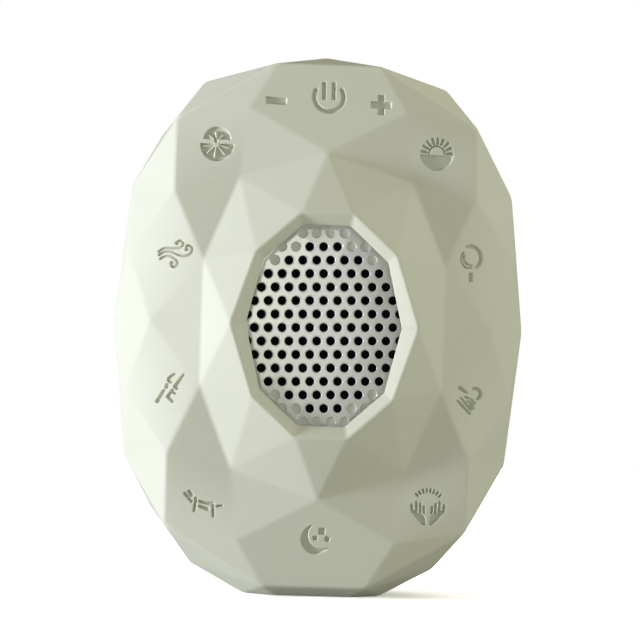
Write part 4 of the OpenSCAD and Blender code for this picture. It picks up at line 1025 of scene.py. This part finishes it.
def make_plate():
    """The domed plate without its holes, from rings of the opening's outline."""
    bm = bmesh.new()
    bridged(bm, [[bm.verts.new(opening_point(*turn, GRILLE_FRONT + sunk, grow)) for turn in TURNS]
                 for grow, sunk in PLATE_RINGS + [(GRILLE_LAP, GRILLE_T)]])
    return closed_object(bm, "grille_plate")


def make_grille():
    """The plate with its punched holes and blind dimples."""
    plate = make_plate()
    above, below = GRILLE_FRONT - 1, GRILLE_FRONT + GRILLE_T + 1
    tools = bmesh.new()
    for x, z in HOLES:
        rim = rolled_rim(HOLE_R, RIM_ROLL, GRILLE_FRONT + sag(x, z))
        turned(tools, x, z, [(rim[0][0], above)] + rim + [(HOLE_R, below)])
    floors = [GRILLE_FRONT + min(sag(x, z) + DIMPLE_DEPTH, GRILLE_T - 0.1) for x, z in DIMPLES]
    for (x, z), depth in zip(DIMPLES, floors):
        turned(tools, x, z, [(DIMPLE_R, above)] + [(DIMPLE_R - r, depth - d) for r, d in DIMPLE_ROUND])
    cut(plate, closed_object(tools, "punches"))
    # Faces at the floor of a dimple get the second finish, whose darker colour is painted shade.
    spots = [place(x, z, depth - 0.05) for (x, z), depth in zip(DIMPLES, floors)]
    for polygon in plate.data.polygons:
        polygon.material_index = int(any(
            polygon.center.y > spot.y and (polygon.center - spot).xz.length < DIMPLE_R * MM
            for spot in spots))
    dress(smooth(plate, sharp=math.radians(50)), "grille_enamel", "shaded_dimple_floor")
    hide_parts("grille")
    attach(plate, "root")
    return plate


grille = make_grille()
print("grille faces:", len(grille.data.polygons))

# %% [markdown]
# ## Small parts at the back and below
# The rubber pad under the foot is ribbed so that it grips, and the port is a drawn metal
# sleeve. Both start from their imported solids: grooves are cut in one, and the edges of the
# other are rounded with a bevel.

# %% Foot pad and port
RIBS, GROOVE_W, GROOVE_DEPTH, SLEEVE_ROUND = 4, 0.4, 0.3, 0.1


def make_foot_pad():
    """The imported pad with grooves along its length."""
    low, high = (Vector(c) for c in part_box("foot_pad"))
    pad = packed_copy("foot_pad")
    grooves = bmesh.new()
    for i in range(1, RIBS):
        y = low.y + (high.y - low.y) * i / RIBS
        size = Matrix.Diagonal((high.x - low.x + MM, GROOVE_W * MM, 2 * GROOVE_DEPTH * MM, 1))
        bmesh.ops.create_cube(grooves, size=1, matrix=Matrix.Translation((0, y, low.z)) @ size)
    cut(pad, object_from(grooves, "grooves"))
    dress(smooth(pad), "foot_rubber")
    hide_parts("foot_pad")
    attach(pad, "root")
    return pad


def make_port():
    """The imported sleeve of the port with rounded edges."""
    port = packed_copy("port_shell")
    bevel = port.modifiers.new("edge", "BEVEL")
    bevel.width, bevel.segments, bevel.limit_method = SLEEVE_ROUND * MM, 2, "ANGLE"
    bevel.angle_limit = math.radians(40)
    apply_modifiers(port)
    dress(smooth(port), "zinc_steel")
    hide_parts("port_shell")
    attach(port, "root")
    return port


print("small parts:", make_foot_pad().name, make_port().name)

# %% [markdown]
# ## Stage, light and camera
# A small soft light stands level and far to the left. Each facet that turns left is bright in
# it, and the sunk symbols get dark left walls. Three larger and weaker lights, at the front, the
# right and above, and a grey world lift the shadows. The floor and the backdrop are white to
# the camera only, which leaves the light on the object as it is. Near the object the floor is
# less bright than farther off, so that the shadow on it shows.

# %% Floor and world
def white_for_camera(tree, shader, white, output):
    """Shows white to the camera, also through clear parts, and shader to all other rays."""
    rays = node(tree, "ShaderNodeLightPath").outputs
    seen = maths(tree, "MAXIMUM", rays["Is Camera Ray"], rays["Is Transmission Ray"])
    mix = node(tree, "ShaderNodeMixShader", {0: seen, 1: shader.outputs[0], 2: white.outputs[0]})
    node(tree, output, {"Surface": mix.outputs[0]})


FLOOR_HALF, FLOOR_GREY, SHADOW_SIDE = 0.9, 0.62, 0.018
WHITE_NEAR, WHITE_FAR = (0.03, 2.2), (0.07, 10.0)  # distance from the shadow, brightness


def make_floor():
    """A pale sheet, white to the camera away from the object's shadow."""
    bm = bmesh.new()
    bmesh.ops.create_grid(bm, x_segments=8, y_segments=8, size=FLOOR_HALF)
    floor = object_from(bm, "floor")
    floor.location.x = SHADOW_SIDE
    material = bpy.data.materials.new("floor_paper")
    material.use_nodes = True
    tree = material.node_tree
    tree.nodes.clear()
    plain = node(tree, "ShaderNodeBsdfDiffuse", {"Color": (FLOOR_GREY, FLOOR_GREY, FLOOR_GREY, 1)})
    away = node(tree, "ShaderNodeVectorMath", {0: object_spot(tree)}, operation="LENGTH")
    lift = node(tree, "ShaderNodeMapRange", {
        "Value": away.outputs["Value"], "From Min": WHITE_NEAR[0], "To Min": WHITE_NEAR[1],
        "From Max": WHITE_FAR[0], "To Max": WHITE_FAR[1]})
    bright = node(tree, "ShaderNodeBsdfDiffuse", {"Color": lift.outputs["Result"]})
    white_for_camera(tree, plain, bright, "ShaderNodeOutputMaterial")
    floor.data.materials.append(material)
    return floor


def make_world(strength):
    """An even grey surround, white to the camera."""
    world = bpy.data.worlds.new("surround")
    bpy.context.scene.world = world
    world.use_nodes = True
    tree = world.node_tree
    tree.nodes.clear()
    even, white = [node(tree, "ShaderNodeBackground", {"Color": (1, 1, 1, 1), "Strength": brightness})
                   for brightness in (strength, 1.0)]
    white_for_camera(tree, even, white, "ShaderNodeOutputWorld")


def soft_light(name, spot, size, power, colour):
    """A square soft light that looks at the object's middle."""
    data = bpy.data.lights.new(name, "AREA")
    data.shape, data.size, data.energy, data.color = "SQUARE", size, power, colour
    light = bpy.data.objects.new(name, data)
    light.location = spot
    light.rotation_euler = (MIDDLE - light.location).to_track_quat("-Z", "Y").to_euler()
    bpy.context.scene.collection.objects.link(light)


MIDDLE = Vector((0, 0, HALF_H * MM))
print("stage:", make_floor().name)
make_world(0.165)
soft_light("left_softbox", (-0.8, -0.19, 0.03), 0.14, 10.4, (1.0, 1.0, 1.26))
soft_light("front_fill", (-0.2, -1.48, 0.15), 0.6, 5.2, (1.03, 1.0, 0.97))
soft_light("right_fill", (1.3, -0.3, 0.35), 0.9, 7.0, (1.02, 1.0, 0.98))
soft_light("top_fill", (0.5, 0.0, 1.25), 0.9, 4.3, (1.1, 1.0, 0.88))

# %% The camera
AZIMUTH, ELEVATION, ROLL = math.radians(-3.9), math.radians(-0.4), math.radians(1.77)
AWAY, SEEN_WIDTH = 0.8, 146.6 * MM
PICTURE, AIM_PIXEL, SENSOR = 640, (324.6, 325.8), 36.0


def make_camera():
    """Looks at the middle of the surround, rolled and slid so that it sits where it should."""
    back = Vector((math.sin(AZIMUTH) * math.cos(ELEVATION),
                   -math.cos(AZIMUTH) * math.cos(ELEVATION), math.sin(ELEVATION)))
    level = Vector((0, 0, 1)).cross(back).normalized()
    upright = back.cross(level)
    right = level * math.cos(ROLL) + upright * math.sin(ROLL)
    up = upright * math.cos(ROLL) - level * math.sin(ROLL)
    data = bpy.data.cameras.new("camera")
    data.sensor_width = SENSOR
    data.lens = SENSOR * AWAY / SEEN_WIDTH
    camera = bpy.data.objects.new("camera", data)
    bpy.context.scene.collection.objects.link(camera)
    step = SEEN_WIDTH / PICTURE
    camera.location = (place(0, 0, 0) + back * AWAY
                       - right * (AIM_PIXEL[0] - PICTURE / 2) * step
                       + up * (AIM_PIXEL[1] - PICTURE / 2) * step)
    camera.rotation_euler = Matrix((right, up, back)).transposed().to_euler()
    bpy.context.scene.camera = camera
    return camera


print("camera at:", [round(c, 4) for c in make_camera().location])
bpy.context.scene.view_settings.view_transform = "Standard"
